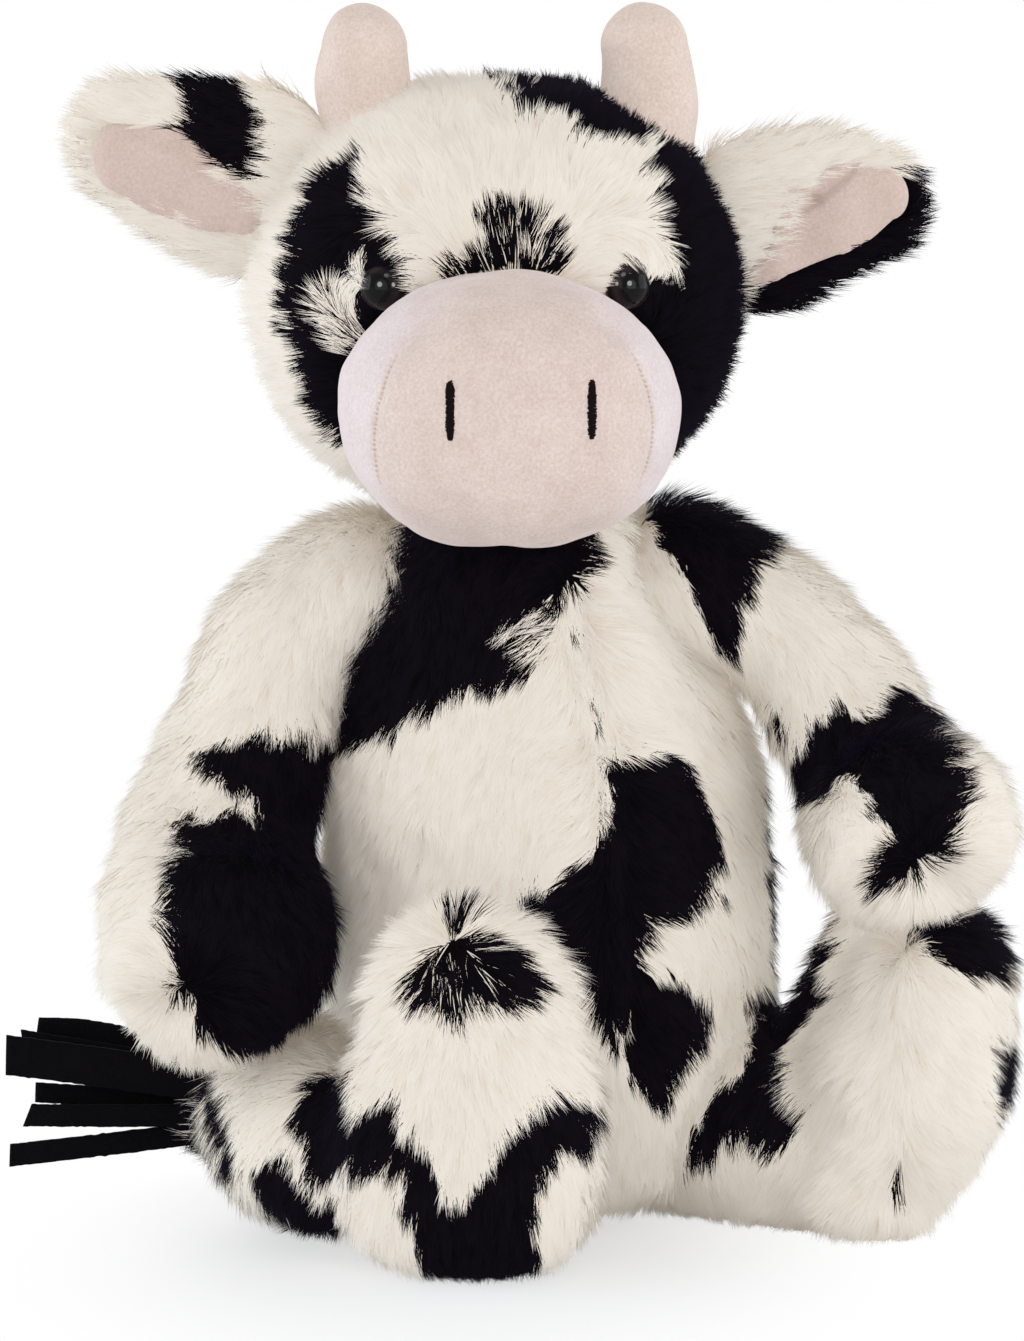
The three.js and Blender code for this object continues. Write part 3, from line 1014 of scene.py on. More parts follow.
@dataclass(frozen=True)
class Coat:
    """A body's dyed patches, in the order in which they are dyed."""

    marks: tuple[Patch | Blot, ...]
    fray: float = 1.1  # how far a patch's edge wanders, in millimetres
    fray_size: float = 7.0  # from one turn of the edge to the next
    seed: int = 7

    def black_share(self, places: np.ndarray) -> np.ndarray:
        """The share of black strands at each place.

        Args:
            places: Rows of places in millimetres.

        Returns:
            Shares from 0 to 1.
        """
        ripples = [Ripple(self.fray_size, self.seed + k) for k in range(3)]
        wander = np.stack([ripple.at(places) for ripple in ripples], axis=1)
        spots = places + self.fray * wander
        pixels = VIEW.pixels(spots)
        black = np.zeros(len(places))
        for mark in self.marks:
            covered = mark.cover(spots, pixels)
            target = 1.0 if mark.dye is Dye.BLACK else 0.0
            black[covered] += (target - black[covered]) * mark.share
        return black


# The pile


@dataclass(frozen=True)
class Whorl:
    """A gather, or a seam, that the pile is combed away from."""

    start: np.ndarray
    end: np.ndarray
    strength: float
    reach: float

    def push(self, places: np.ndarray) -> np.ndarray:
        """The combing at each place.

        Args:
            places: Rows of places in millimetres.

        Returns:
            Rows of directions, longer where the combing is stronger.
        """
        apart = places - nearest_on(self.start, self.end, places)
        gaps = np.linalg.norm(apart, axis=1, keepdims=True)
        return self.strength * np.exp(-((gaps / self.reach) ** 2)) * apart / np.maximum(gaps, 0.5)


@dataclass(frozen=True)
class Comb:
    """Which way the pile lies: a general lay, bent by whorls."""

    lay: Spot
    whorls: tuple[Whorl, ...] = ()

    WANDER = 0.18  # how far the lay wanders
    WANDER_SIZE = 17.0  # from one turn to the next, in millimetres
    WANDER_SEED = 90

    def flow(self, places: np.ndarray, normals: np.ndarray) -> np.ndarray:
        """The pile's direction along the cloth.

        Args:
            places: Rows of places in millimetres.
            normals: The cloth's normals there.

        Returns:
            Rows of unit directions in the cloth's surface.
        """
        way = np.tile(np.array(self.lay, float), (len(places), 1))
        for whorl in self.whorls:
            way = way + whorl.push(places)
        ripples = [Ripple(self.WANDER_SIZE, self.WANDER_SEED + k) for k in range(3)]
        way = way + self.WANDER * np.stack([ripple.at(places) for ripple in ripples], axis=1)
        return unit(way - normals * (way * normals).sum(1, keepdims=True))


@dataclass(frozen=True)
class Pile:
    """How a fur is woven and cut: strands that lean over and cling to one another in locks."""

    length: float = 7.6
    density: float = 7.0  # strands on a square millimetre
    width: float = 0.19
    lean_foot: float = 40.0  # degrees off the cloth's normal
    lean_tip: float = 80.0
    lock: float = 0.26  # how far tips gather in a lock
    lock_size: int = 12  # strands in a lock
    stray: float = 11.0  # how far a strand's direction strays, in degrees

    LEVELS = np.array([0.0, 0.45, 1.0])  # of a strand's foot, bend and tip, as shares of its length
    GIRTHS = np.array([0.9, 1.0])  # widths at its foot and bend
    CUT = (0.78, 1.15)  # shortest and longest strand, as shares of the length
    UNEVEN = 0.1  # how much the length varies from place to place, as a share
    UNEVEN_SIZE = 13.0  # from one such place to the next, in millimetres
    # how much the strands of one lock differ from the rest together, and then each by itself
    STRAYS = (0.9, 0.6)  # in direction, in units of the stray
    TILTS = (6.0, 5.0)  # in lean, in degrees
    SHADES = (0.15, 0.15)  # in tone
    MOODS = (0.55, 0.45)  # in how readily they take the black dye
    WHOLE = 1.02  # lets every strand take it where the coat's share is one
    HOOK = 1.3  # power of the way along a strand, which bends it to its lock near the tip
    CLING = 3.0  # how near its lock's middle a strand gathers in full, in millimetres
    LAID = (0.05, 0.5)  # heights at which strands lie on the ground
    LEANS = (5.0, 86.0)  # least and most lean
    TONES = (0.02, 0.98)  # darkest and lightest tone
    ROLL = 24.0  # how much strands roll about their own line, in degrees
    WIDTHS = (0.75, 1.25)  # narrowest and widest strand, as shares of the width
    FACING = (0.9, 0.1, 0.04)  # how far light meets it as the cloth, as a blade and as its edge
    ENDS = (0.01, 0.98)  # where a strand starts on its map, and how far it goes
    STRIP = 0.0015  # half a strand's width on its map
    SHOWN = 0.4  # where the part of a strand that shows has its middle, from its bend to its tip
    MOST = 62_000  # strands in one mesh

    def grow(
        self,
        cloth: Object,
        comb: Comb,
        coat: Coat,
        bare: list["Bare"],
        seed: int,
        trim: Callable[[np.ndarray], np.ndarray] | None = None,
    ) -> list[tuple[Dye, Object]]:
        """Grows the pile on a cloth bag, as one mesh for each dye.

        Args:
            cloth: The bag.
            comb: Which way the pile lies.
            coat: Which strands are black.
            bare: Where no pile grows.
            seed: The draw's seed.
            trim: Gives the share of the length at each root, or None for the whole.

        Returns:
            Each dye with its mesh's object.
        """
        draw = np.random.default_rng(seed)
        roots, normals = self.scatter(cloth.data, draw)
        kept = np.ones(len(roots), bool)
        for place in bare:
            kept &= ~place.covers(roots)
        roots, normals = roots[kept], normals[kept]
        count = len(roots)
        locks = max(1, count // self.lock_size)
        leads = draw.permutation(count)[:locks]
        lead = self.nearest(roots[leads], roots)
        together, alone = self.STRAYS
        turn = draw.normal(size=locks)[lead] * together + draw.normal(size=count) * alone
        turn = np.radians(self.stray) * turn
        flow = comb.flow(roots, normals)
        flow = flow * np.cos(turn)[:, None] + np.cross(normals, flow) * np.sin(turn)[:, None]
        length = self.length * draw.uniform(*self.CUT, count)
        length = length * (1 + self.UNEVEN * Ripple(self.UNEVEN_SIZE, seed).at(roots))
        if trim is not None:
            length = length * trim(roots)
        together, alone = self.TILTS
        tilt = draw.normal(0, alone, count) + draw.normal(0, together, locks)[lead]
        spine = self.spines(roots, normals, flow, length, tilt)
        apart = spine[leads][lead] - spine
        gaps = np.maximum(1e-3, np.linalg.norm(apart, axis=2, keepdims=True))
        near = np.minimum(1, self.CLING / gaps)
        spine = spine + self.lock * (self.LEVELS**self.HOOK)[None, :, None] * apart * near
        spine[:, :, 2] = np.maximum(spine[:, :, 2], draw.uniform(*self.LAID, (count, 1)))
        together, alone = self.MOODS
        mood = together * draw.uniform(size=locks)[lead] + alone * draw.uniform(size=count)
        shown = spine[:, 1] + self.SHOWN * (spine[:, 2] - spine[:, 1])
        black = mood < coat.black_share(shown) * self.WHOLE
        together, alone = self.SHADES
        tones = 0.5 + together * draw.normal(size=locks)[lead] + alone * draw.normal(size=count)
        tones = np.clip(tones, *self.TONES)
        around = np.arctan2(*(roots - roots.mean(0))[:, 1::-1].T)
        made = []
        for dye, chosen in ((Dye.CREAM, ~black), (Dye.BLACK, black)):
            order = np.flatnonzero(chosen)
            order = order[np.argsort(around[order])]
            parts = -(-len(order) // self.MOST)
            for part, picked in enumerate(np.array_split(order, parts) if parts else ()):
                name = f"{cloth.name.replace('_plush', '')}_pile_{dye.value}_{part + 1}"
                blades = self.blades(name, spine[picked], normals[picked], tones[picked], draw)
                made.append((dye, blades))
        write_values(cloth.data, DYE_NAME, coat.black_share(places_of(cloth.data)))
        return made

    def scatter(self, mesh: Mesh, draw: np.random.Generator) -> tuple[np.ndarray, np.ndarray]:
        """Spreads roots evenly over a mesh.

        Args:
            mesh: The cloth's mesh.
            draw: The random draw.

        Returns:
            Rows of roots, and of the cloth's normals there.
        """
        mesh.calc_loop_triangles()
        corners = np.zeros(len(mesh.loop_triangles) * 3, np.int32)
        mesh.loop_triangles.foreach_get("vertices", corners)
        corners = corners.reshape(-1, 3)
        places, normals = places_of(mesh), normals_of(mesh)
        a, b, c = (places[corners[:, k]] for k in range(3))
        areas = np.linalg.norm(np.cross(b - a, c - a), axis=1) / 2
        total = areas.sum()
        count = int(total * self.density)
        marks = (np.arange(count) + draw.uniform(size=count)) / count * total
        which = np.minimum(np.searchsorted(np.cumsum(areas), marks), len(areas) - 1)
        u, v = draw.uniform(size=(2, count))
        flip = u + v > 1
        u[flip], v[flip] = 1 - u[flip], 1 - v[flip]
        weights = np.stack([1 - u - v, u, v], axis=1)[:, :, None]
        chosen = corners[which]
        return (places[chosen] * weights).sum(1), unit((normals[chosen] * weights).sum(1))

    @staticmethod
    def nearest(targets: np.ndarray, places: np.ndarray) -> np.ndarray:
        """The number of the nearest target to each place."""
        tree = KDTree(len(targets))
        for k, target in enumerate(targets):
            tree.insert(target, k)
        tree.balance()
        return np.array([tree.find(place)[1] for place in places])

    def spines(
        self,
        roots: np.ndarray,
        normals: np.ndarray,
        flow: np.ndarray,
        length: np.ndarray,
        tilt: np.ndarray,
    ) -> np.ndarray:
        """Each strand's line, which leans over more towards its tip.

        Args:
            roots: Rows of roots.
            normals: The cloth's normals.
            flow: The pile's directions.
            length: Each strand's length.
            tilt: What each strand leans more, in degrees.

        Returns:
            Places as strands by levels by 3.
        """
        lines = [roots]
        for low, high in zip(self.LEVELS, self.LEVELS[1:]):
            lean = self.lean_foot + (self.lean_tip - self.lean_foot) * (low + high) / 2 + tilt
            lean = np.radians(np.clip(lean, *self.LEANS))[:, None]
            step = (length * (high - low))[:, None]
            lines.append(lines[-1] + step * (normals * np.cos(lean) + flow * np.sin(lean)))
        return np.stack(lines, axis=1)

    def blades(
        self,
        name: str,
        spine: np.ndarray,
        normals: np.ndarray,
        tones: np.ndarray,
        draw: np.random.Generator,
    ) -> Object:
        """Strands as flat tapered blades that face outwards.

        Args:
            name: The piece's name.
            spine: The strands' lines.
            normals: The cloth's normals at their roots.
            tones: Each strand's tone, from 0 to 1.
            draw: The random draw.

        Returns:
            The piece.
        """
        count = len(spine)
        ways = unit(np.gradient(spine, axis=1))
        roll = np.radians(draw.normal(0, self.ROLL, count))[:, None]
        width = self.width * draw.uniform(*self.WIDTHS, count)[:, None]
        as_cloth, as_blade, as_edge = self.FACING
        first, reach = self.ENDS
        places = np.empty((count, 5, 3))
        facing = np.empty((count, 5, 3))
        maps = np.empty((count, 5, 2))
        for level, girth in enumerate(self.GIRTHS):
            way = ways[:, level]
            across = unit(np.cross(way, normals))
            across = across * np.cos(roll) + np.cross(way, across) * np.sin(roll)
            ribbon = unit(np.cross(across, way))
            for hand, edge in enumerate((-1, 1)):
                spot = 2 * level + hand
                places[:, spot] = spine[:, level] + across * width * girth / 2 * edge
                turned = as_cloth * normals + as_blade * ribbon + as_edge * edge * across
                facing[:, spot] = unit(turned)
                maps[:, spot, 0] = tones + self.STRIP * edge
                maps[:, spot, 1] = self.LEVELS[level]
        places[:, 4] = spine[:, 2]
        facing[:, 4] = facing[:, 3]
        maps[:, 4, 0] = tones
        maps[:, 4, 1] = 1.0
        maps[:, :, 1] = first + reach * maps[:, :, 1]
        blade = np.array([0, 1, 3, 2, 2, 3, 4])  # a face of four corners, then the tip's of three
        corners = (np.arange(count)[:, None] * 5 + blade).ravel()
        sizes = np.tile([4, 3], count)
        starts = np.concatenate([[0], np.cumsum(sizes)[:-1]])
        mesh = bpy.data.meshes.new(name)
        mesh.vertices.add(count * 5)
        mesh.vertices.foreach_set("co", (places * MM).astype(np.float32).ravel())
        mesh.loops.add(len(corners))
        mesh.loops.foreach_set("vertex_index", corners.astype(np.int32))
        mesh.polygons.add(len(sizes))
        mesh.polygons.foreach_set("loop_start", starts.astype(np.int32))
        mesh.polygons.foreach_set("loop_total", sizes.astype(np.int32))
        mesh.update(calc_edges=True)
        chart = mesh.uv_layers.new(name=STRAND_MAP)
        chart.data.foreach_set("uv", maps.reshape(-1, 2)[corners].astype(np.float32).ravel())
        normal = mesh.attributes.new("custom_normal", "FLOAT_VECTOR", "POINT")
        normal.data.foreach_set("vector", facing.astype(np.float32).ravel())
        mesh.update()
        made = put_in_scene(name, mesh)
        made.visible_shadow = False  # strands this thick would dull one another
        made.visible_diffuse = False
        return made


class Bare:
    """Where no pile grows: within, or well inside, another piece."""

    def __init__(self, form: Form | Object, depth: float = 0.0) -> None:
        """Builds the search tree.

        Args:
            form: The other piece's surface.
            depth: How deep inside it the bare part starts, or how far outside where negative.
        """
        if isinstance(form, Form):
            places, faces = form.places, form.faces
        else:
            places, faces = places_of(form.data), [tuple(p.vertices) for p in form.data.polygons]
        self.low = places.min(0) - abs(depth)
        self.high = places.max(0) + abs(depth)
        self.depth = depth
        self.tree = BVHTree.FromPolygons(places.tolist(), faces)

    def covers(self, roots: np.ndarray) -> np.ndarray:
        """Which roots are bare.

        Args:
            roots: Rows of places in millimetres.

        Returns:
            True where nothing grows.
        """
        bare = ((roots > self.low) & (roots < self.high)).all(1)
        for k in np.flatnonzero(bare):
            spot, normal, _, gap = self.tree.find_nearest(Vector(roots[k]))
            under = (spot - Vector(roots[k])).dot(normal) > 0
            bare[k] = (gap if under else -gap) > self.depth
        return bare


# The toy's measures, shared by its bags


@dataclass(frozen=True)
class Frame:
    """Where the bags meet: neck, head, shoulders and hips."""

    torso_height: float = 126.0
    torso_lean: float = 8.0
    head_rise: float = 60.0
    head_shift: float = 3.5
    head_ahead: float = 4.0
    head_turn: float = 3.0
    shoulder_spread: float = 54.0
    shoulder_rise: float = 7.0
    hip_spread: float = 50.0
    hip_height: float = 24.0

    @property
    def neck(self) -> np.ndarray:
        """The middle of the neck's dome."""
        return np.array([-self.torso_lean + self.head_shift / 2, 0.0, self.torso_height])

    @property
    def head(self) -> np.ndarray:
        """The head's middle."""
        return self.neck + np.array([-self.head_shift, -self.head_ahead, self.head_rise])

    @property
    def head_pose(self) -> Matrix:
        """The head's place and turn."""
        turn = Matrix.Rotation(math.radians(self.head_turn), 4, "Z")
        return Matrix.Translation(Vector(self.head)) @ turn

    def on_head(self, place: Spot) -> np.ndarray:
        """A place of the head's own frame in the toy's."""
        return np.array(self.head_pose @ Vector(place))

    def shoulder(self, side: Side) -> np.ndarray:
        """A shoulder's middle."""
        out = side.value * self.shoulder_spread / 2
        return np.array([self.neck[0] + out, 0.0, self.torso_height + self.shoulder_rise])

    def hip(self, side: Side) -> np.ndarray:
        """A hip's middle."""
        return np.array([side.value * self.hip_spread / 2, 0.0, self.hip_height])


FRAME = Frame()


class Furs:
    """The fur's materials, made once and shared by all the bags."""

    def __init__(self) -> None:
        """Makes the materials."""
        self.backing = FurBacking().material()
        self.pile = {pile.dye: pile.material() for pile in PILES}

    def cover(
        self,
        cloth: Object,
        body: str,
        nodes: tuple[str, ...],
        pile: Pile,
        comb: Comb,
        coat: Coat,
        bare: list[Bare],
        seed: int,
        fill: float = 0.85,
        trim: Callable[[np.ndarray], np.ndarray] | None = None,
    ) -> None:
        """Grows the pile on a bag and dresses both.

        Args:
            cloth: The bag.
            body: The body that it rides on.
            nodes: The solids that it stands for.
            pile: How the fur is cut.
            comb: Which way it lies.
            coat: Its pattern.
            bare: Where none grows.
            seed: The draw's seed.
            fill: How tightly the bag is stuffed; not used.
            trim: Gives the share of the length at each root.
        """
        grown = pile.grow(cloth, comb, coat, bare, seed, trim)
        dress(cloth, self.backing, body)
        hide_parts(*nodes)
        for dye, strands in grown:
            dress(strands, self.pile[dye], body)


@dataclass
class Torso:
    """The pear-shaped trunk, with its belly seam."""

    half_width: float = 44.5
    half_depth: float = 38.0
    neck_radius: float = 28.0
    pile_depth: float = 3.4
    # height, width and depth of each ring, and how far it leans to the neck, as shares
    shares: Rows = (
        (0.03, 0.6, 0.62, 0.0),
        (0.11, 0.86, 0.86, 0.0),
        (0.24, 0.97, 0.97, -0.05),
        (0.42, 1.02, 1.0, -0.15),
        (0.58, 1.01, 0.96, -0.1),
        (0.73, 0.98, 0.87, 0.1),
        (0.86, 0.89, 0.77, 0.45),
        (1.0, 0.68, 0.737, 0.95),
    )
    seam: Gather = Gather(
        ((576, 590), (583, 650), (607, 740), (615, 800), (620, 900), (630, 1040)),
        depth=1.6,
        radius=2.2,
        strength=1.3,
        reach=11.0,
    )
    seat: Spot = (0.0, 0.0, -0.5)

    RINGS = 40
    NECK_RINGS = 10
    SIDES = 60

    def form(self) -> Form:
        """The trunk's outside, from the seat to the dome of the neck.

        Returns:
            The form.
        """
        rings = []
        for high, wide, deep, lean in smoothed_rings(np.array(self.shares), self.RINGS):
            centre = np.array([FRAME.neck[0] * lean, 0.0, FRAME.torso_height * high])
            across, back = ACROSS * self.half_width * wide, BACK * self.half_depth * deep
            rings.append(ring_of(centre, across, back, self.SIDES))
        for k in range(1, self.NECK_RINGS):
            turn = math.pi / 2 * k / self.NECK_RINGS
            centre = FRAME.neck + UP * self.neck_radius * math.sin(turn)
            flat = self.neck_radius * math.cos(turn)
            rings.append(ring_of(centre, ACROSS * flat, BACK * flat, self.SIDES))
        return loft(np.array(self.seat), np.array(rings), FRAME.neck + UP * self.neck_radius)

    def build(self, furs: Furs, head: Object) -> Object:
        """Builds and dresses the trunk.

        Args:
            furs: The fur's materials.
            head: The head's bag, which covers the neck.

        Returns:
            The trunk's bag.
        """
        forms = [self.form()]
        cloth = plush("torso_plush", forms, self.pile_depth, self.seam.dents(forms), seed=3)
        furs.cover(
            cloth,
            "torso",
            ("torso_skin", "torso_stuffing", "pellet_bag"),
            Pile(),
            Comb((0.0, 0.0, -1.0), self.seam.whorls(forms)),
            TORSO_COAT,
            [Bare(head, depth=3.0)],
            seed=11,
        )
        return cloth


TORSO_COAT = Coat(
    (
        # chest
        Patch(
            (
                (300, 470), (600, 470), (601, 569), (585, 600), (565, 612), (535, 618), (500, 632),
                (512, 652), (530, 676), (516, 691), (491, 698), (461, 701), (442, 709), (421, 722),
                (384, 743), (326, 764), (290, 770),
            ),
            back=-4,
        ),
        Patch(
            ((494, 627), (534, 612), (565, 606), (550, 650), (530, 678), (508, 651)),
            share=0.45,
            back=0,
        ),
        # flecks on the seam
        Patch(((573, 625), (581, 626), (583, 646), (576, 642)), share=0.8, back=0),
        Patch(((585, 704), (593, 706), (605, 732), (596, 730)), share=0.8, back=0),
        # belly, left and right of the seam
        Patch(
            (
                (612, 768), (644, 757), (692, 760), (706, 792), (724, 839), (728, 868), (711, 879),
                (721, 898), (707, 920), (674, 924), (655, 946), (643, 957), (655, 983), (689, 994),
                (710, 1009), (710, 1038), (696, 1064), (680, 1092), (667, 1122), (650, 1105),
                (630, 1095), (627, 1040), (622, 960), (612, 850),
            ),
        ),
        Patch(
            (
                (621, 812), (600, 845), (568, 869), (541, 896), (515, 907), (535, 940), (565, 980),
                (596, 1040), (618, 1066), (629, 1000), (627, 900),
            ),
        ),
        # flank, and the back, which the photograph doesn't show
        Patch(((752, 1000), (790, 990), (800, 1080), (765, 1085), (756, 1050)), back=10),
        Blot((36, 14, 62), (20, 22, 30)),
        Blot((-34, 22, 98), (22, 20, 24)),
        Blot((6, 36, 30), (24, 14, 20)),
    ),
    seed=21,
)


@dataclass
class Head:
    """The egg-shaped head, on which the muzzle, eyes, horns and ears sit."""

    half_width: float = 49.5
    half_height: float = 44.0
    half_depth: float = 43.0
    whorl: Spot = (0.0, -20.0, -12.0)  # in the head's frame
    short: float = 0.7  # share of the pile's length beside the eyes
    fade: float = 16.0  # how far from an eye the pile would gain its whole length again
    pile_depth: float = 3.2
    # height, width and depth of each ring, as shares
    shares: Rows = (
        (-0.985, 0.2, 0.2),
        (-0.93, 0.46, 0.46),
        (-0.76, 0.69, 0.69),
        (-0.5, 0.87, 0.89),
        (-0.2, 0.97, 0.98),
        (0.12, 0.995, 1.0),
        (0.42, 0.92, 0.94),
        (0.68, 0.755, 0.78),
        (0.87, 0.53, 0.56),
        (0.97, 0.26, 0.28),
    )

    RINGS = 46
    SIDES = 64

    def form(self) -> Form:
        """The head's outside.

        Returns:
            The form.
        """
        rings = []
        for high, wide, deep in smoothed_rings(np.array(self.shares), self.RINGS):
            across, back = ACROSS * self.half_width * wide, BACK * self.half_depth * deep
            rings.append(ring_of(UP * self.half_height * high, across, back, self.SIDES))
        tip = UP * self.half_height
        return loft(-tip, np.array(rings), tip).posed(FRAME.head_pose)

    def bag(self) -> Object:
        """The head's cloth."""
        return plush("head_plush", [self.form()], self.pile_depth, lump=0.4, seed=5)

    def build(self, furs: Furs, cloth: Object, bare: list[Bare], eyes: "Eyes") -> None:
        """Grows the head's fur.

        Args:
            furs: The fur's materials.
            cloth: The head's bag.
            bare: What covers it.
            eyes: The eyes, round which it is short.
        """
        middle = FRAME.on_head(self.whorl)
        seats = [eyes.seat(side) for side in Side]
        round_eyes = (Whorl(seat, seat, strength=-4.5, reach=9.0) for seat in seats)
        whorls = (Whorl(middle, middle, strength=1.6, reach=60.0), *round_eyes)

        def trim(roots: np.ndarray) -> np.ndarray:
            """The pile is short beside the eyes, and longer behind and above them.

            Args:
                roots: Rows of places in millimetres.

            Returns:
                Shares of the pile's length.
            """
            gaps = np.min([np.linalg.norm(roots - seat, axis=1) for seat in seats], axis=0)
            above = np.clip((roots[:, 2] - seats[0][2]) / eyes.radius, 0, 1)
            grown = self.short + (gaps - eyes.radius) / self.fade + (1 - self.short) * above
            return np.clip(grown, self.short, 1.0)

        furs.cover(
            cloth,
            "head",
            ("head_skin", "head_stuffing"),
            Pile(length=6.6, lock=0.2, stray=9.0),
            Comb((0.0, 0.25, -0.25), whorls),
            HEAD_COAT,
            bare,
            seed=12,
            trim=trim,
        )


HEAD_COAT = Coat(
    (
        # round the toy's right eye, with a white tuft in it
        Patch(
            (
                (333, 158), (355, 151), (361, 174), (357, 200), (378, 238), (398, 262), (404, 300),
                (378, 330), (359, 345), (347, 372), (343, 404), (342, 445), (334, 446), (317, 420),
                (304, 396), (297, 370), (285, 346), (279, 315), (278, 273), (284, 239), (297, 203),
                (310, 176),
            ),
        ),
        Patch(
            (
                (311, 279), (340, 273), (363, 260), (362, 288), (359, 308), (357, 332), (337, 348),
                (323, 342), (309, 315), (300, 287),
            ),
            dye=Dye.CREAM,
            share=0.66,
        ),
        # the toy's left cheek
        Patch(
            (
                (655, 150), (667, 128), (690, 118), (740, 140), (775, 200), (790, 260), (795, 320),
                (780, 390), (750, 440), (712, 462), (688, 456), (672, 458), (655, 430), (640, 380),
                (620, 330), (616, 292), (632, 274), (652, 277), (686, 284), (685, 253), (675, 222),
                (658, 198), (664, 177), (646, 160),
            ),
            back=22,
        ),
        # crown
        Patch(
            (
                (505, 84), (535, 74), (556, 62), (600, 44), (655, 56), (690, 112), (672, 135),
                (640, 138), (606, 134), (574, 121), (548, 108), (512, 99),
            ),
            back=30,
        ),
        Patch(
            ((482, 56), (500, 50), (532, 56), (533, 80), (510, 77), (488, 81)),
            share=0.8,
            back=30,
        ),
        # forelock
        Patch(
            (
                (475, 197), (505, 192), (537, 199), (543, 218), (533, 236), (554, 218), (578, 248),
                (576, 278), (540, 276), (505, 274), (478, 278), (448, 282), (444, 262), (462, 246),
                (490, 232), (477, 216),
            ),
            share=0.7,
        ),
        # the back of the head, which the photograph doesn't show
        Blot((-36, 26, 176), (18, 22, 26)),
        Blot((4, 38, 204), (20, 16, 16)),
        Blot((22, 34, 168), (14, 14, 18)),
    ),
    seed=31,
)


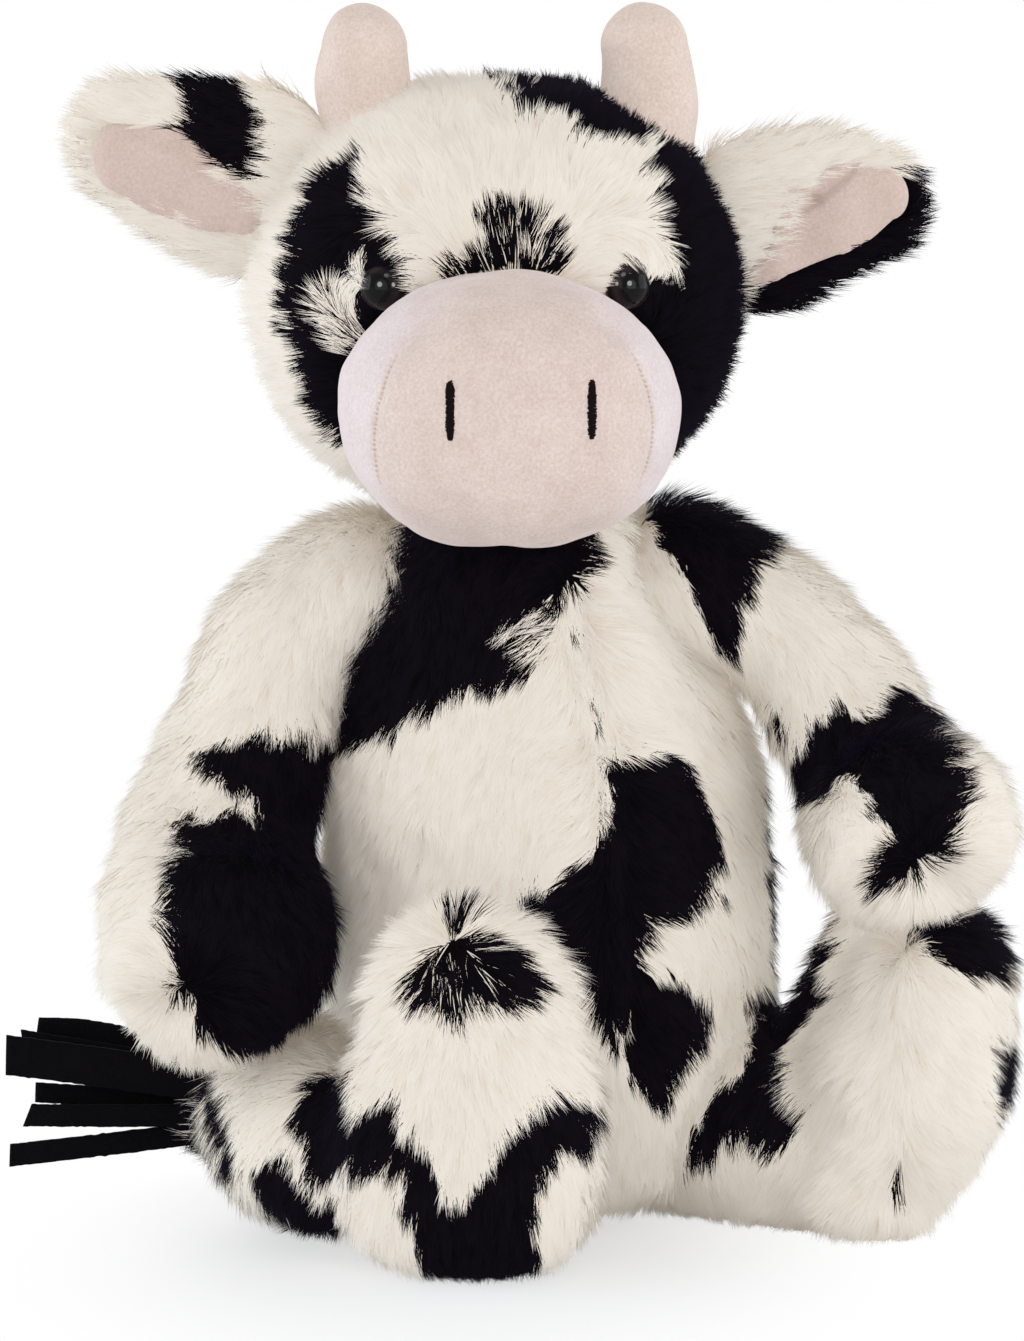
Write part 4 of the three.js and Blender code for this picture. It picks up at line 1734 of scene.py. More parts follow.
@dataclass
class Muzzle:
    """The suede cushion on the face, with a sewn line down each side and two stitched nostrils."""

    half_width: float = 32.4
    half_height: float = 26.4
    reach: float = 35.0
    ahead: float = 43.0
    drop: float = 17.9
    square: float = 0.035  # how much fuller its lower corners are than an oval's
    seam_across: float = 26.6
    seam_slant: float = 0.1
    seam_curve: float = 0.02  # how fast it turns in, a millimetre
    seam_reach: float = 13.5
    seam_depth: float = 0.3
    seam_width: float = 0.4
    seam_stitch: float = 1.0  # length of a stitch
    seam_bare: float = 0.24  # what shows of the thread between two stitches, as a share
    puff: float = 0.15  # how far the cloth swells beside a seam
    puff_gap: float = 2.4
    puff_width: float = 1.6
    face: float = 8.0  # how far behind the muzzle's middle the seams go
    panel_edge: float = 0.5  # how sharply the middle panel's tone ends at a seam
    panel_fade: float = 0.12  # how much softer it ends, a millimetre above or below panel_flat
    panel_flat: float = 10.0
    nostril_spacing: float = 26.8
    nostril_length: float = 10.9
    nostril_shift: float = 0.9
    nostril_width: float = 1.5
    nostril_lift: float = 2.6
    thread: float = 0.42
    # how far back each ring lies, and its width and height, as shares
    shares: Rows = (
        (0.97, 0.25, 0.25),
        (0.9, 0.5, 0.5),
        (0.55, 0.86, 0.84),
        (0.1, 0.99, 0.98),
        (-0.3, 1.0, 1.0),
        (-0.66, 0.86, 0.86),
        (-0.88, 0.6, 0.6),
        (-0.97, 0.32, 0.32),
    )

    RINGS = 190
    SIDES = 320
    LUMPS = ((0.35, 22.0, 61), (0.12, 7.0, 62))  # height, size and seed of the cushion's lumps
    NOSTRIL_SEED = 70
    LAY = 0.8  # from one thread of a nostril to the next, as a share of its thickness
    TAPER = 0.85  # share of its squared width that a nostril loses at its ends
    WIDTHS = (0.8, 1.15)  # narrowest and widest lay, as shares of the nostril's width
    SLIP = 0.03  # how far a lay slips to a side
    SLOPE = 0.05  # how far its ends slope
    BULGE = (0.75, 0.25)  # how far a lay swells, and how deep its ends sink, as shares of a thread
    POINTS = 9  # on the line of a lay

    def form(self) -> Form:
        """The muzzle's outside.

        Returns:
            The form.
        """
        middle = np.array([0.0, -self.ahead, -self.drop])
        rings = []
        for back, wide, high in smoothed_rings(np.array(self.shares), self.RINGS):
            across, up = ACROSS * self.half_width * wide, UP * self.half_height * high
            rings.append(ring_of(middle + BACK * self.reach * back, across, up, self.SIDES))
        turns = 2 * np.pi * np.arange(self.SIDES) / self.SIDES
        corners = np.where(turns > np.pi, self.square * np.sin(2 * turns) ** 2, 0.0)[None, :, None]
        centres = np.mean(rings, axis=1, keepdims=True)
        squared = centres + (np.array(rings) - centres) * (1 + corners)
        tip = BACK * self.reach
        return loft(middle + tip, squared, middle - tip).posed(FRAME.head_pose)

    def build(self) -> None:
        """Builds and dresses the cushion, then sews its nostrils."""
        made = mesh_of("muzzle_cushion", self.form())
        mesh = made.data
        self.sew_sides(mesh)
        dress(made, MUZZLE_SUEDE.material(), "head")
        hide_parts("muzzle")
        faces = [tuple(polygon.vertices) for polygon in mesh.polygons]
        tree = BVHTree.FromPolygons(places_of(mesh).tolist(), faces)
        thread = SatinThread().material()
        for side in Side:
            dress(self.nostril(side, tree), thread, "head")

    def sew_sides(self, mesh: Mesh) -> None:
        """Draws the cushion in along its side seams, and writes where its panels and stitches are.

        Args:
            mesh: The cushion's mesh.
        """
        places, normals = places_of(mesh), normals_of(mesh)
        own = (np.array(FRAME.head_pose.inverted())[:3, :3] @ (places - FRAME.head).T).T
        rise = own[:, 2] + self.drop
        slope = self.seam_slant * rise + self.seam_curve * rise**2
        beyond = np.abs(own[:, 0]) - self.seam_across + slope
        gap = np.abs(beyond)
        front = (own[:, 1] < -self.ahead + self.face) * np.exp(-((rise / self.seam_reach) ** 8))
        line = np.exp(-((gap / self.seam_width) ** 2)) * front
        puff = self.puff * np.exp(-(((gap - self.puff_gap) / self.puff_width) ** 2)) * front
        soft = sum(high * Ripple(size, seed).at(places) for high, size, seed in self.LUMPS)
        move_places(mesh, places + normals * (puff - self.seam_depth * line + soft)[:, None])
        edge = self.panel_edge + self.panel_fade * np.maximum(np.abs(rise) - self.panel_flat, 0)
        middle_panel = 0.5 / (1 + np.exp(beyond / edge))
        stitch = np.sin(2 * np.pi * rise / self.seam_stitch)
        stitched = line * ((1 + self.seam_bare) / 2 + (1 - self.seam_bare) / 2 * stitch)
        write_values(mesh, SEAM_NAME, middle_panel + (1 - middle_panel) * stitched)

    def nostril(self, side: Side, tree: BVHTree) -> Object:
        """A bar of satin stitch: threads laid across, one above the other.

        Args:
            side: Which nostril.
            tree: The cushion's surface.

        Returns:
            The bar.
        """
        draw = np.random.default_rng(self.NOSTRIL_SEED + side.value)
        lays = int(self.nostril_length / (self.thread * self.LAY))
        swell, sink = self.BULGE
        places, faces = [], []
        ahead = (FRAME.head_pose.to_3x3() @ Vector((0, -1, 0))).normalized()
        for k in range(lays):
            rise = self.nostril_lift + self.nostril_length * (0.5 - k / (lays - 1))
            taper = math.sqrt(1 - self.TAPER * abs(2 * k / (lays - 1) - 1) ** 6)
            half = self.nostril_width / 2 * taper * draw.uniform(*self.WIDTHS)
            slip = draw.normal(0, self.SLIP)
            slope = draw.normal(0, self.SLOPE)
            middle = side.value * self.nostril_spacing / 2 + self.nostril_shift + slip
            line = []
            for step in np.linspace(-1, 1, self.POINTS):
                high = -self.drop + rise + slope * step
                start = FRAME.on_head((middle + step * half, -self.ahead - 2 * self.reach, high))
                spot = tree.ray_cast(Vector(start), -ahead)[0]
                bulge = self.thread * (swell * math.sqrt(max(0.0, 1 - step**2)) - sink)
                line.append(np.array(spot + ahead * bulge))
            tube_along(np.array(line), self.thread / 2, places, faces)
        made = mesh_of(f"nostril_bar_{side.word}", Form(np.array(places), faces))
        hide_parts(f"nostril_stitch_{side.word}")
        return made


def tube_along(line: np.ndarray, radius: float, places: list, faces: list, sides: int = 6) -> None:
    """Adds a closed tube along a line to lists of places and faces.

    Args:
        line: The tube's points.
        radius: Its radius.
        places: Takes the places.
        faces: Takes the faces.
        sides: Corners of its section.
    """
    ways = unit(np.gradient(line, axis=0))
    base = len(places)
    for spot, way in zip(line, ways):
        first = unit(np.cross(way, UP if abs(way[2]) < 0.9 else ACROSS))
        second = np.cross(way, first)
        places.extend(ring_of(spot, first * radius, second * radius, sides))
    for ring in range(len(line) - 1):
        for k in range(sides):
            low, after = base + ring * sides, (k + 1) % sides
            faces.append((low + k, low + after, low + sides + after, low + sides + k))
    faces.append(tuple(base + k for k in reversed(range(sides))))
    faces.append(tuple(base + (len(line) - 1) * sides + k for k in range(sides)))


@dataclass
class Eyes:
    """Two glossy domes on stems that go through the head."""

    radius: float = 4.6
    dome: float = 3.6  # how far it rises from its rim
    flange: float = 1.0  # height of the straight rim under it
    clearance: float = -3.5  # between the flange and the pile's outside
    spacing: float = 49.5
    lift: float = 4.4  # above the head's middle
    stem_radius: float = 1.8
    stem_length: float = 10.0
    head: Head = field(default_factory=Head)

    RINGS = 18  # on the dome
    SIDES = 48
    TOP = 0.05  # the first ring's angle off the dome's top, in radians
    BEVEL = (0.94, 0.7)  # width of the flange's foot, and where it starts, as shares
    STEP = 0.05  # between the flange and the stem

    def pose(self, side: Side) -> Matrix:
        """An eye's place, with its Y facing straight out of the head.

        Args:
            side: Which eye.

        Returns:
            The pose in millimetres.
        """
        wide, deep = self.head.half_width, self.head.half_depth
        x = side.value * self.spacing / 2
        y = -deep * math.sqrt(1 - (x / wide) ** 2)
        outward = Vector((x / wide**2, y / deep**2, 0)).normalized()
        seat = Vector((x, y, self.lift)) + outward * (self.flange + self.clearance)
        turn = Vector((0, 1, 0)).rotation_difference(outward).to_matrix().to_4x4()
        return FRAME.head_pose @ Matrix.Translation(seat) @ turn

    def seat(self, side: Side) -> np.ndarray:
        """An eye's middle."""
        return np.array(self.pose(side).translation)

    def form(self, side: Side) -> Form:
        """An eye's surface, turned from its profile.

        Args:
            side: Which eye.

        Returns:
            The form.
        """
        turns = np.linspace(self.TOP, math.pi / 2, self.RINGS)
        rows = [(self.radius * math.sin(turn), self.dome * math.cos(turn)) for turn in turns]
        low, (narrow, start) = -self.flange, self.BEVEL
        rows += [(self.radius, low * start), (self.radius * narrow, low)]
        rows += [(self.stem_radius, low - self.STEP), (self.stem_radius, low - self.stem_length)]
        rings = [ring_of(BACK * high, ACROSS * wide, UP * wide, self.SIDES) for wide, high in rows]
        ends = BACK * self.dome, BACK * (low - self.stem_length)
        return loft(ends[0], np.array(rings), ends[1]).posed(self.pose(side))

    def build(self) -> None:
        """Builds and dresses both eyes and their washers."""
        acrylic, nylon = EyeAcrylic().material(), WasherNylon().material()
        for side in Side:
            made = mesh_of(f"eye_dome_{side.word}", self.form(side))
            back = np.array(self.pose(side).inverted())
            own = places_of(made.data) @ back[:3, :3].T + back[:3, 3]
            write_values(made.data, RIM_NAME, np.hypot(own[:, 0], own[:, 2]) / self.radius)
            dress(made, acrylic, "head")
            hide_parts(f"eye_{side.word}")
            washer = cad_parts[f"eye_washer_{side.word}"]
            washer.data.materials.clear()
            washer.data.materials.append(nylon)


@dataclass
class Horns:
    """Two stuffed suede stubs with a seam up their outer side."""

    radius: float = 9.3
    height: float = 35.2
    spacing: float = 54.8
    rise: float = 22.0
    shift: float = 2.9
    lean: float = -0.05  # of both horns to the toy's right, as a share of their height
    path: Rows = (
        (0, 0, 0),
        (0, 0, 0.2),
        (0.02, 0, 0.5),
        (0.01, 0, 0.75),
        (-0.02, 0, 1),
    )
    girths: tuple[float, ...] = (1.0, 1.02, 0.92)
    seam_depth: float = 0.5
    seam_width: float = 0.6
    lump: float = 0.3
    lump_size: float = 13.0

    SEED = 80

    def form(self, side: Side) -> Form:
        """A horn's outside.

        Args:
            side: Which horn.

        Returns:
            The form.
        """
        root = FRAME.on_head((side.value * self.spacing / 2 + self.shift, 0, self.rise))
        shares = np.array([(x * side.value + self.lean * z, y, z) for x, y, z in self.path])
        girths = self.radius * np.array(self.girths)
        return bag(root + self.height * shares, girths, girths, ACROSS, sides=90, caps=24, spans=16)

    def build(self) -> None:
        """Builds and dresses both horns."""
        suede = HORN_SUEDE.material()
        for side in Side:
            made = mesh_of(f"horn_stub_{side.word}", self.form(side))
            places, normals = places_of(made.data), normals_of(made.data)
            middle = places.mean(0)
            outer = (places[:, 0] - middle[0]) * side.value > 0
            gap = np.abs(places[:, 1] - middle[1])
            sewn = self.seam_depth * np.exp(-((gap / self.seam_width) ** 2)) * outer
            soft = self.lump * Ripple(self.lump_size, self.SEED + side.value).at(places)
            move_places(made.data, places + normals * (soft - sewn)[:, None])
            dress(made, suede, "head")
            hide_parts(f"horn_{side.word}")


@dataclass
class Ears:
    """Two fur ears, each with a suede lining on its front."""

    length: float = 44.5
    half_height: float = 16.0
    half_thickness: float = 6.0
    spacing: float = 85.0
    rise: float = 19.0
    drop: float = 11.0
    pile_depth: float = 2.4
    pile_length: float = 7.4
    lining_half_thickness: float = 2.2
    lining_rise: float = 4.8  # its middle ahead of the ear's
    lump: float = 0.35
    lump_size: float = 15.0
    thicknesses: tuple[float, ...] = (0.95, 1.0, 0.9)

    LINING_SEED = 84
    CLOTH_SEED = 14
    PILE_SEED = 20

    def root(self, side: Side) -> np.ndarray:
        """An ear's root."""
        rise = self.rise if side is Side.RIGHT else self.rise - self.drop
        return FRAME.on_head((side.value * self.spacing / 2, 0, rise))

    def form(self, side: Side) -> Form:
        """An ear's outside.

        Args:
            side: Which ear.

        Returns:
            The form.
        """
        shares = np.array(EAR_SHAPES[side].path, float) * (side.value, 1, 1)
        heights = self.half_height * np.array(EAR_SHAPES[side].heights)
        depths = self.half_thickness * np.array(self.thicknesses)
        return bag(self.root(side) + self.length * shares, heights, depths, UP, sides=48)

    def lining(self, side: Side) -> Form:
        """The lining's outside, without its folds.

        Args:
            side: Which ear.

        Returns:
            The form.
        """
        shape = EAR_SHAPES[side]
        depth = self.root(side)[1] - self.lining_rise
        spots = np.array([VIEW.lift(pixel, depth) for pixel in shape.lining])
        depths = self.lining_half_thickness * np.ones(len(spots) - 2)
        return bag(spots, np.array(shape.lining_heights), depths, UP, sides=80, caps=14, spans=14)

    def line(self, side: Side, suede: Material) -> Form:
        """Builds and dresses an ear's lining.

        Args:
            side: Which ear.
            suede: Its material.

        Returns:
            The lining's outside.
        """
        form = self.lining(side)
        made = mesh_of(f"ear_suede_{side.word}", form)
        places, normals = places_of(made.data), normals_of(made.data)
        soft = self.lump * Ripple(self.lump_size, self.LINING_SEED + side.value).at(places)
        for dent in EAR_SHAPES[side].fold.dents([form]):
            soft = soft - dent.pull(places)
        move_places(made.data, places + normals * soft[:, None])
        dress(made, suede, f"ear_{side.word}")
        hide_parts(f"ear_lining_{side.word}")
        return form

    def build(self, furs: Furs) -> None:
        """Builds and dresses both ears.

        Args:
            furs: The fur's materials.
        """
        suede = LINING_SUEDE.material()
        for side in Side:
            lining = self.line(side, suede)
            body = f"ear_{side.word}"
            forms = [self.form(side)]
            seed = self.CLOTH_SEED + side.value
            furs.cover(
                plush(f"{body}_plush", forms, self.pile_depth, lump=0.3, voxel=1.2, seed=seed),
                body,
                (body,),
                Pile(length=self.pile_length),
                Comb((float(side.value), -0.15, 0.2)),
                EAR_COATS[side],
                [Bare(lining, depth=-0.6)],
                seed=self.PILE_SEED + side.value,
                fill=0.3,
            )


@dataclass(frozen=True)
class EarShape:
    """What differs between the two ears."""

    path: Rows  # the ear's middle line, as shares of its length
    heights: tuple[float, ...]  # shares of its half height
    lining: Pixels  # the lining's middle line, in pixels
    lining_heights: tuple[float, ...]  # half heights in millimetres
    fold: Gather


EAR_SHAPES = {
    Side.RIGHT: EarShape(
        path=(
            (-0.36, 0, 0.05),
            (0.1, 0, 0.08),
            (0.4, 0, 0.17),
            (0.68, -0.02, 0.26),
            (0.91, -0.04, 0.31),
        ),
        heights=(1.32, 1.12, 0.86),
        lining=((91, 158), (118, 157), (165, 171), (210, 197), (240, 213), (258, 226)),
        lining_heights=(6.2, 8.4, 6.8, 4.4),
        fold=Gather(((140, 132), (180, 146), (225, 182)), depth=0.8, radius=1.8),
    ),
    Side.LEFT: EarShape(
        path=(
            (-0.12, 0, 0.06),
            (0.12, 0, 0.105),
            (0.41, 0, 0.18),
            (0.69, -0.02, 0.235),
            (0.92, -0.04, 0.27),
        ),
        heights=(1.2, 1.1, 0.84),
        lining=((744, 284), (778, 262), (818, 220), (856, 203), (886, 194), (908, 188)),
        lining_heights=(3.0, 8.2, 8.0, 5.2),
        fold=Gather(((797, 212), (815, 200), (850, 171)), depth=1.5, radius=1.1),
    ),
}
EAR_COATS = {
    Side.RIGHT: Coat(
        (
            Patch(
                (
                    (163, 62), (192, 60), (228, 78), (254, 105), (258, 140), (250, 176), (235, 183),
                    (212, 171), (190, 155), (170, 145), (148, 135), (176, 120), (186, 100),
                    (168, 84),
                ),
                back=40,
            ),
        ),
        seed=41,
    ),
    Side.LEFT: Coat(
        (
            Patch(
                (
                    (749, 292), (758, 279), (800, 268), (850, 248), (882, 226), (902, 200),
                    (914, 168), (975, 150), (975, 230), (940, 275), (900, 300), (850, 320),
                    (800, 340), (765, 345), (745, 320),
                ),
                back=40,
            ),
        ),
        seed=42,
    ),
}


@dataclass
class Limb:
    """A fur bag that is sewn to the trunk and gathered at its end."""

    side: Side
    path: Rows  # its middle line, as shares of its length
    girths: tuple[float, ...]
    coat: Coat
    gather: Gather
    lay: Spot

    WORD = ""
    CLOTH_SEED = 0
    PILE_SEED = 0
    PILE_DEPTH = 3.3
    COVERED = 5.0  # how deep inside the trunk it has no pile

    def forms(self) -> list[Form]:
        """The limb's outside."""
        raise NotImplementedError

    def build(self, furs: Furs, torso: Object) -> None:
        """Builds and dresses the limb.

        Args:
            furs: The fur's materials.
            torso: The trunk's bag, which covers the limb's root.
        """
        side = self.side
        body = f"{self.WORD}_{side.word}"
        forms = self.forms()
        dents = self.gather.dents(forms)
        seed = self.CLOTH_SEED + side.value
        furs.cover(
            plush(f"{body}_plush", forms, self.PILE_DEPTH, dents, seed=seed),
            body,
            (f"{self.WORD}_skin_{side.word}", f"{self.WORD}_stuffing_{side.word}"),
            Pile(),
            Comb(self.lay, self.gather.whorls(forms)),
            self.coat,
            [Bare(torso, depth=self.COVERED)],
            seed=self.PILE_SEED + side.value,
        )


@dataclass
class Arm(Limb):
    """An arm, gathered at its paw."""

    girth: float
    length: float = 100.0

    WORD = "arm"
    CLOTH_SEED = 24
    PILE_SEED = 30

    def forms(self) -> list[Form]:
        """The arm's outside."""
        line = FRAME.shoulder(self.side) + self.length * np.array(self.path, float)
        girths = self.girth * np.array(self.girths)
        return [bag(line, girths, girths, BACK)]


ARMS = (
    Arm(
        side=Side.RIGHT,
        girth=20.0,
        path=(
            (0.12, 0, -0.02),
            (-0.04, 0, -0.04),
            (-0.17, -0.02, -0.16),
            (-0.26, -0.06, -0.37),
            (-0.315, -0.16, -0.57),
            (-0.307, -0.33, -0.72),
            (-0.235, -0.52, -0.8),
        ),
        girths=(0.74, 0.78, 0.87, 1.02, 1.2),
        coat=Coat(
            (
                Patch(
                    (
                        (188, 760), (210, 750), (229, 747), (259, 735), (286, 740), (304, 747),
                        (350, 755), (365, 800), (360, 860), (371, 926), (352, 993), (305, 1042),
                        (259, 1064), (229, 1056), (199, 1048), (188, 1020), (168, 1014), (170, 978),
                        (157, 926), (157, 862), (177, 826), (203, 818), (240, 816), (268, 822),
                        (250, 808), (229, 800), (222, 790), (203, 780),
                    ),
                    back=-6,
                ),
                Blot((-62, 8, 96), (14, 12, 16)),
            ),
            seed=51,
        ),
        gather=Gather(((177, 1016),), depth=3.5, radius=5.0, strength=2.2, reach=20.0),
        lay=(-0.25, -0.2, -1.0),
    ),
    Arm(
        side=Side.LEFT,
        girth=18.0,
        path=(
            (-0.12, 0, -0.02),
            (0.06, 0, -0.03),
            (0.26, -0.03, -0.14),
            (0.4, -0.09, -0.31),
            (0.475, -0.18, -0.45),
            (0.505, -0.32, -0.495),
            (0.545, -0.47, -0.56),
        ),
        girths=(0.84, 0.82, 0.9, 1.04, 1.19),
        coat=Coat(
            (
                Patch(
                    (
                        (640, 470), (687, 480), (755, 500), (795, 530), (779, 552), (761, 572),
                        (755, 596), (747, 620), (744, 645), (735, 668), (712, 640), (690, 590),
                        (660, 540),
                    ),
                    back=30,
                ),
                Patch(
                    (
                        (818, 717), (836, 711), (866, 723), (880, 719), (882, 696), (906, 692),
                        (940, 712), (965, 746), (975, 776), (974, 820), (962, 850), (940, 881),
                        (910, 889), (866, 900), (854, 884), (873, 854), (881, 828), (866, 798),
                        (836, 776), (818, 802), (796, 809), (786, 787), (796, 758), (810, 737),
                    ),
                    back=6,
                ),
                Patch(((768, 728), (787, 733), (787, 748), (771, 743)), share=0.8),
                Blot((60, 12, 96), (16, 12, 16)),
            ),
            seed=52,
        ),
        gather=Gather(((935, 882),), depth=3.5, radius=5.0, strength=2.2, reach=20.0),
        lay=(0.55, -0.2, -0.8),
    ),
)


@dataclass
class Foot:
    """A leg's upturned end."""

    height: float
    half_width: float
    half_depth: float
    path: Rows  # its middle line, as shares of its height
    girths: tuple[float, ...]
    depths: tuple[float, ...]


@dataclass
class Leg(Limb):
    """A leg from the hip to an upturned foot, gathered at the foot's top."""

    heading: Spot
    breadths: tuple[float, ...]
    heel: Spot  # from the hip, as shares of the length
    foot: Foot
    instep: Rows = ()
    instep_radius: float = 11.0
    length: float = 60.0
    radius: float = 21.5

    WORD = "leg"
    CLOTH_SEED = 34
    PILE_SEED = 40
    PILE_DEPTH = 3.4

    def forms(self) -> list[Form]:
        """The thigh's, the foot's and the instep's outsides, which run into one another.

        Returns:
            The forms.
        """
        hip = FRAME.hip(self.side)
        side = unit(np.cross(UP, np.array(self.heading)))
        thigh = bag(
            hip + self.length * np.array(self.path, float),
            self.radius * np.array(self.breadths),
            self.radius * np.array(self.girths),
            side,
        )
        heel = hip + self.length * np.array(self.heel)
        foot = bag(
            heel + self.foot.height * np.array(self.foot.path, float),
            self.foot.half_width * np.array(self.foot.girths),
            self.foot.half_depth * np.array(self.foot.depths),
            side,
        )
        if not self.instep:
            return [thigh, foot]
        girths = self.instep_radius * np.ones(len(self.instep) - 2)
        instep = bag(hip + self.length * np.array(self.instep, float), girths, girths, side)
        return [thigh, foot, instep]


LEGS = (
    Leg(
        side=Side.RIGHT,
        heading=(0, -1, 0),
        path=(
            (0.2, 0.14, 0.02),
            (-0.13, 0.02, -0.01),
            (-0.34, -0.2, -0.04),
            (-0.32, -0.54, -0.025),
            (-0.1, -0.96, -0.05),
        ),
        girths=(0.84, 1.0, 0.87),
        breadths=(0.8, 1.06, 0.92),
        heel=(0.17, -0.97, -0.41),
        foot=Foot(
            height=74.2,
            half_width=26.5,
            half_depth=17.0,
            path=((0, 0.03, 0), (0, 0, 0.2), (0, -0.01, 0.45), (0, 0, 0.72), (-0.02, 0.05, 1)),
            girths=(0.97, 1.02, 0.76),
            depths=(1.1, 1.05, 0.84),
        ),
        coat=Coat(
            (
                Patch(
                    (
                        (436, 905), (440, 897), (466, 894), (492, 902), (478, 916), (455, 923),
                        (441, 921),
                    ),
                    share=0.6,
                ),
                Patch(
                    (
                        (402, 975), (418, 960), (441, 962), (458, 935), (476, 928), (510, 940),
                        (545, 960), (561, 982), (550, 1002), (518, 1013), (492, 1020), (464, 1022),
                        (440, 1024), (410, 1018), (400, 995),
                    ),
                    share=0.8,
                ),
                Patch(
                    (
                        (337, 1135), (360, 1122), (387, 1106), (402, 1133), (429, 1163),
                        (441, 1203), (455, 1206), (489, 1185), (504, 1144), (523, 1121),
                        (560, 1099), (592, 1103), (606, 1125), (592, 1150), (557, 1172),
                        (532, 1200), (543, 1261), (525, 1290), (447, 1300), (421, 1272),
                        (404, 1227), (400, 1190), (368, 1174), (350, 1192), (337, 1166),
                    ),
                    back=-30,
                ),
                Patch(
                    (
                        (303, 1078), (341, 1072), (346, 1114), (340, 1151), (333, 1184),
                        (308, 1182), (294, 1151), (290, 1121),
                    ),
                    back=0,
                ),
                Patch(
                    (
                        (252, 1174), (267, 1162), (288, 1173), (303, 1196), (335, 1212),
                        (338, 1240), (300, 1240), (268, 1218), (254, 1195),
                    ),
                    back=0,
                ),
                Patch(
                    (
                        (188, 1050), (210, 1058), (215, 1099), (231, 1140), (237, 1182),
                        (222, 1184), (208, 1136), (194, 1095),
                    ),
                    back=14,
                ),
                Blot((-52, 6, 20), (14, 14, 16)),
            ),
            seed=61,
        ),
        gather=Gather(((446, 953),), depth=2.6, radius=4.5, strength=2.6, reach=34.0),
        lay=(0.0, -0.25, -1.0),
    ),
    Leg(
        side=Side.LEFT,
        heading=(0.9, -0.42, 0),
        path=(
            (-0.2, 0.1, 0.02),
            (0.1, -0.08, -0.03),
            (0.38, -0.2, -0.05),
            (0.62, -0.32, -0.07),
            (0.98, -0.48, -0.08),
        ),
        girths=(1.04, 1.0, 0.96),
        breadths=(0.99, 1.0, 0.96),
        heel=(0.86, -0.42, -0.41),
        foot=Foot(
            height=68.5,
            half_width=24.0,
            half_depth=22.0,
            path=(
                (-0.27, 0.03, 0),
                (-0.19, 0.03, 0.2),
                (-0.08, 0.035, 0.45),
                (-0.01, 0.02, 0.72),
                (0.0, 0.01, 1),
            ),
            girths=(0.84, 1.0, 0.88),
            depths=(0.78, 0.96, 0.78),
        ),
        coat=Coat(
            (
                Patch(
                    (
                        (904, 902), (932, 908), (969, 912), (984, 894), (1012, 890), (1040, 938),
                        (1035, 975), (990, 981), (973, 990), (950, 966), (928, 943), (911, 930),
                    ),
                    back=20,
                ),
                Patch(((1002, 1048), (1030, 1040), (1030, 1100), (994, 1120)), back=30),
                Patch(
                    (
                        (828, 915), (826, 961), (821, 1001), (800, 1027), (780, 1048), (773, 1084),
                        (752, 1088), (750, 1010), (790, 985), (806, 950),
                    ),
                    back=30,
                ),
                Patch(
                    (
                        (745, 1060), (778, 1093), (799, 1123), (784, 1151), (759, 1159),
                        (729, 1143), (711, 1162), (683, 1184), (690, 1145), (705, 1110),
                        (735, 1080),
                    ),
                ),
                Patch(((889, 1178), (903, 1180), (906, 1202), (895, 1206)), share=0.85),
                Blot((80, 6, 30), (12, 12, 20)),
            ),
            seed=62,
        ),
        gather=Gather(
            ((903, 924), (899, 1196)), depth=1.5, radius=3.0, strength=1.2, reach=26.0
        ),
        lay=(0.1, -0.2, -1.0),
        instep=(
            (0.46, -0.22, 0.2),
            (0.54, -0.26, 0.3),
            (0.62, -0.3, 0.5),
            (0.72, -0.32, 0.7),
            (0.8, -0.34, 0.85),
        ),
        instep_radius=9.5,
    ),
)


@dataclass(frozen=True)
class Strip:
    """One strip of the tassel."""

    rise: float  # of its root, as a share of the tail's radius
    long: float  # share of the longest free length
    wide: float  # share of the greatest width
    slope: float  # in degrees
    sag: float  # of its free end
    slant: float  # of its cut end


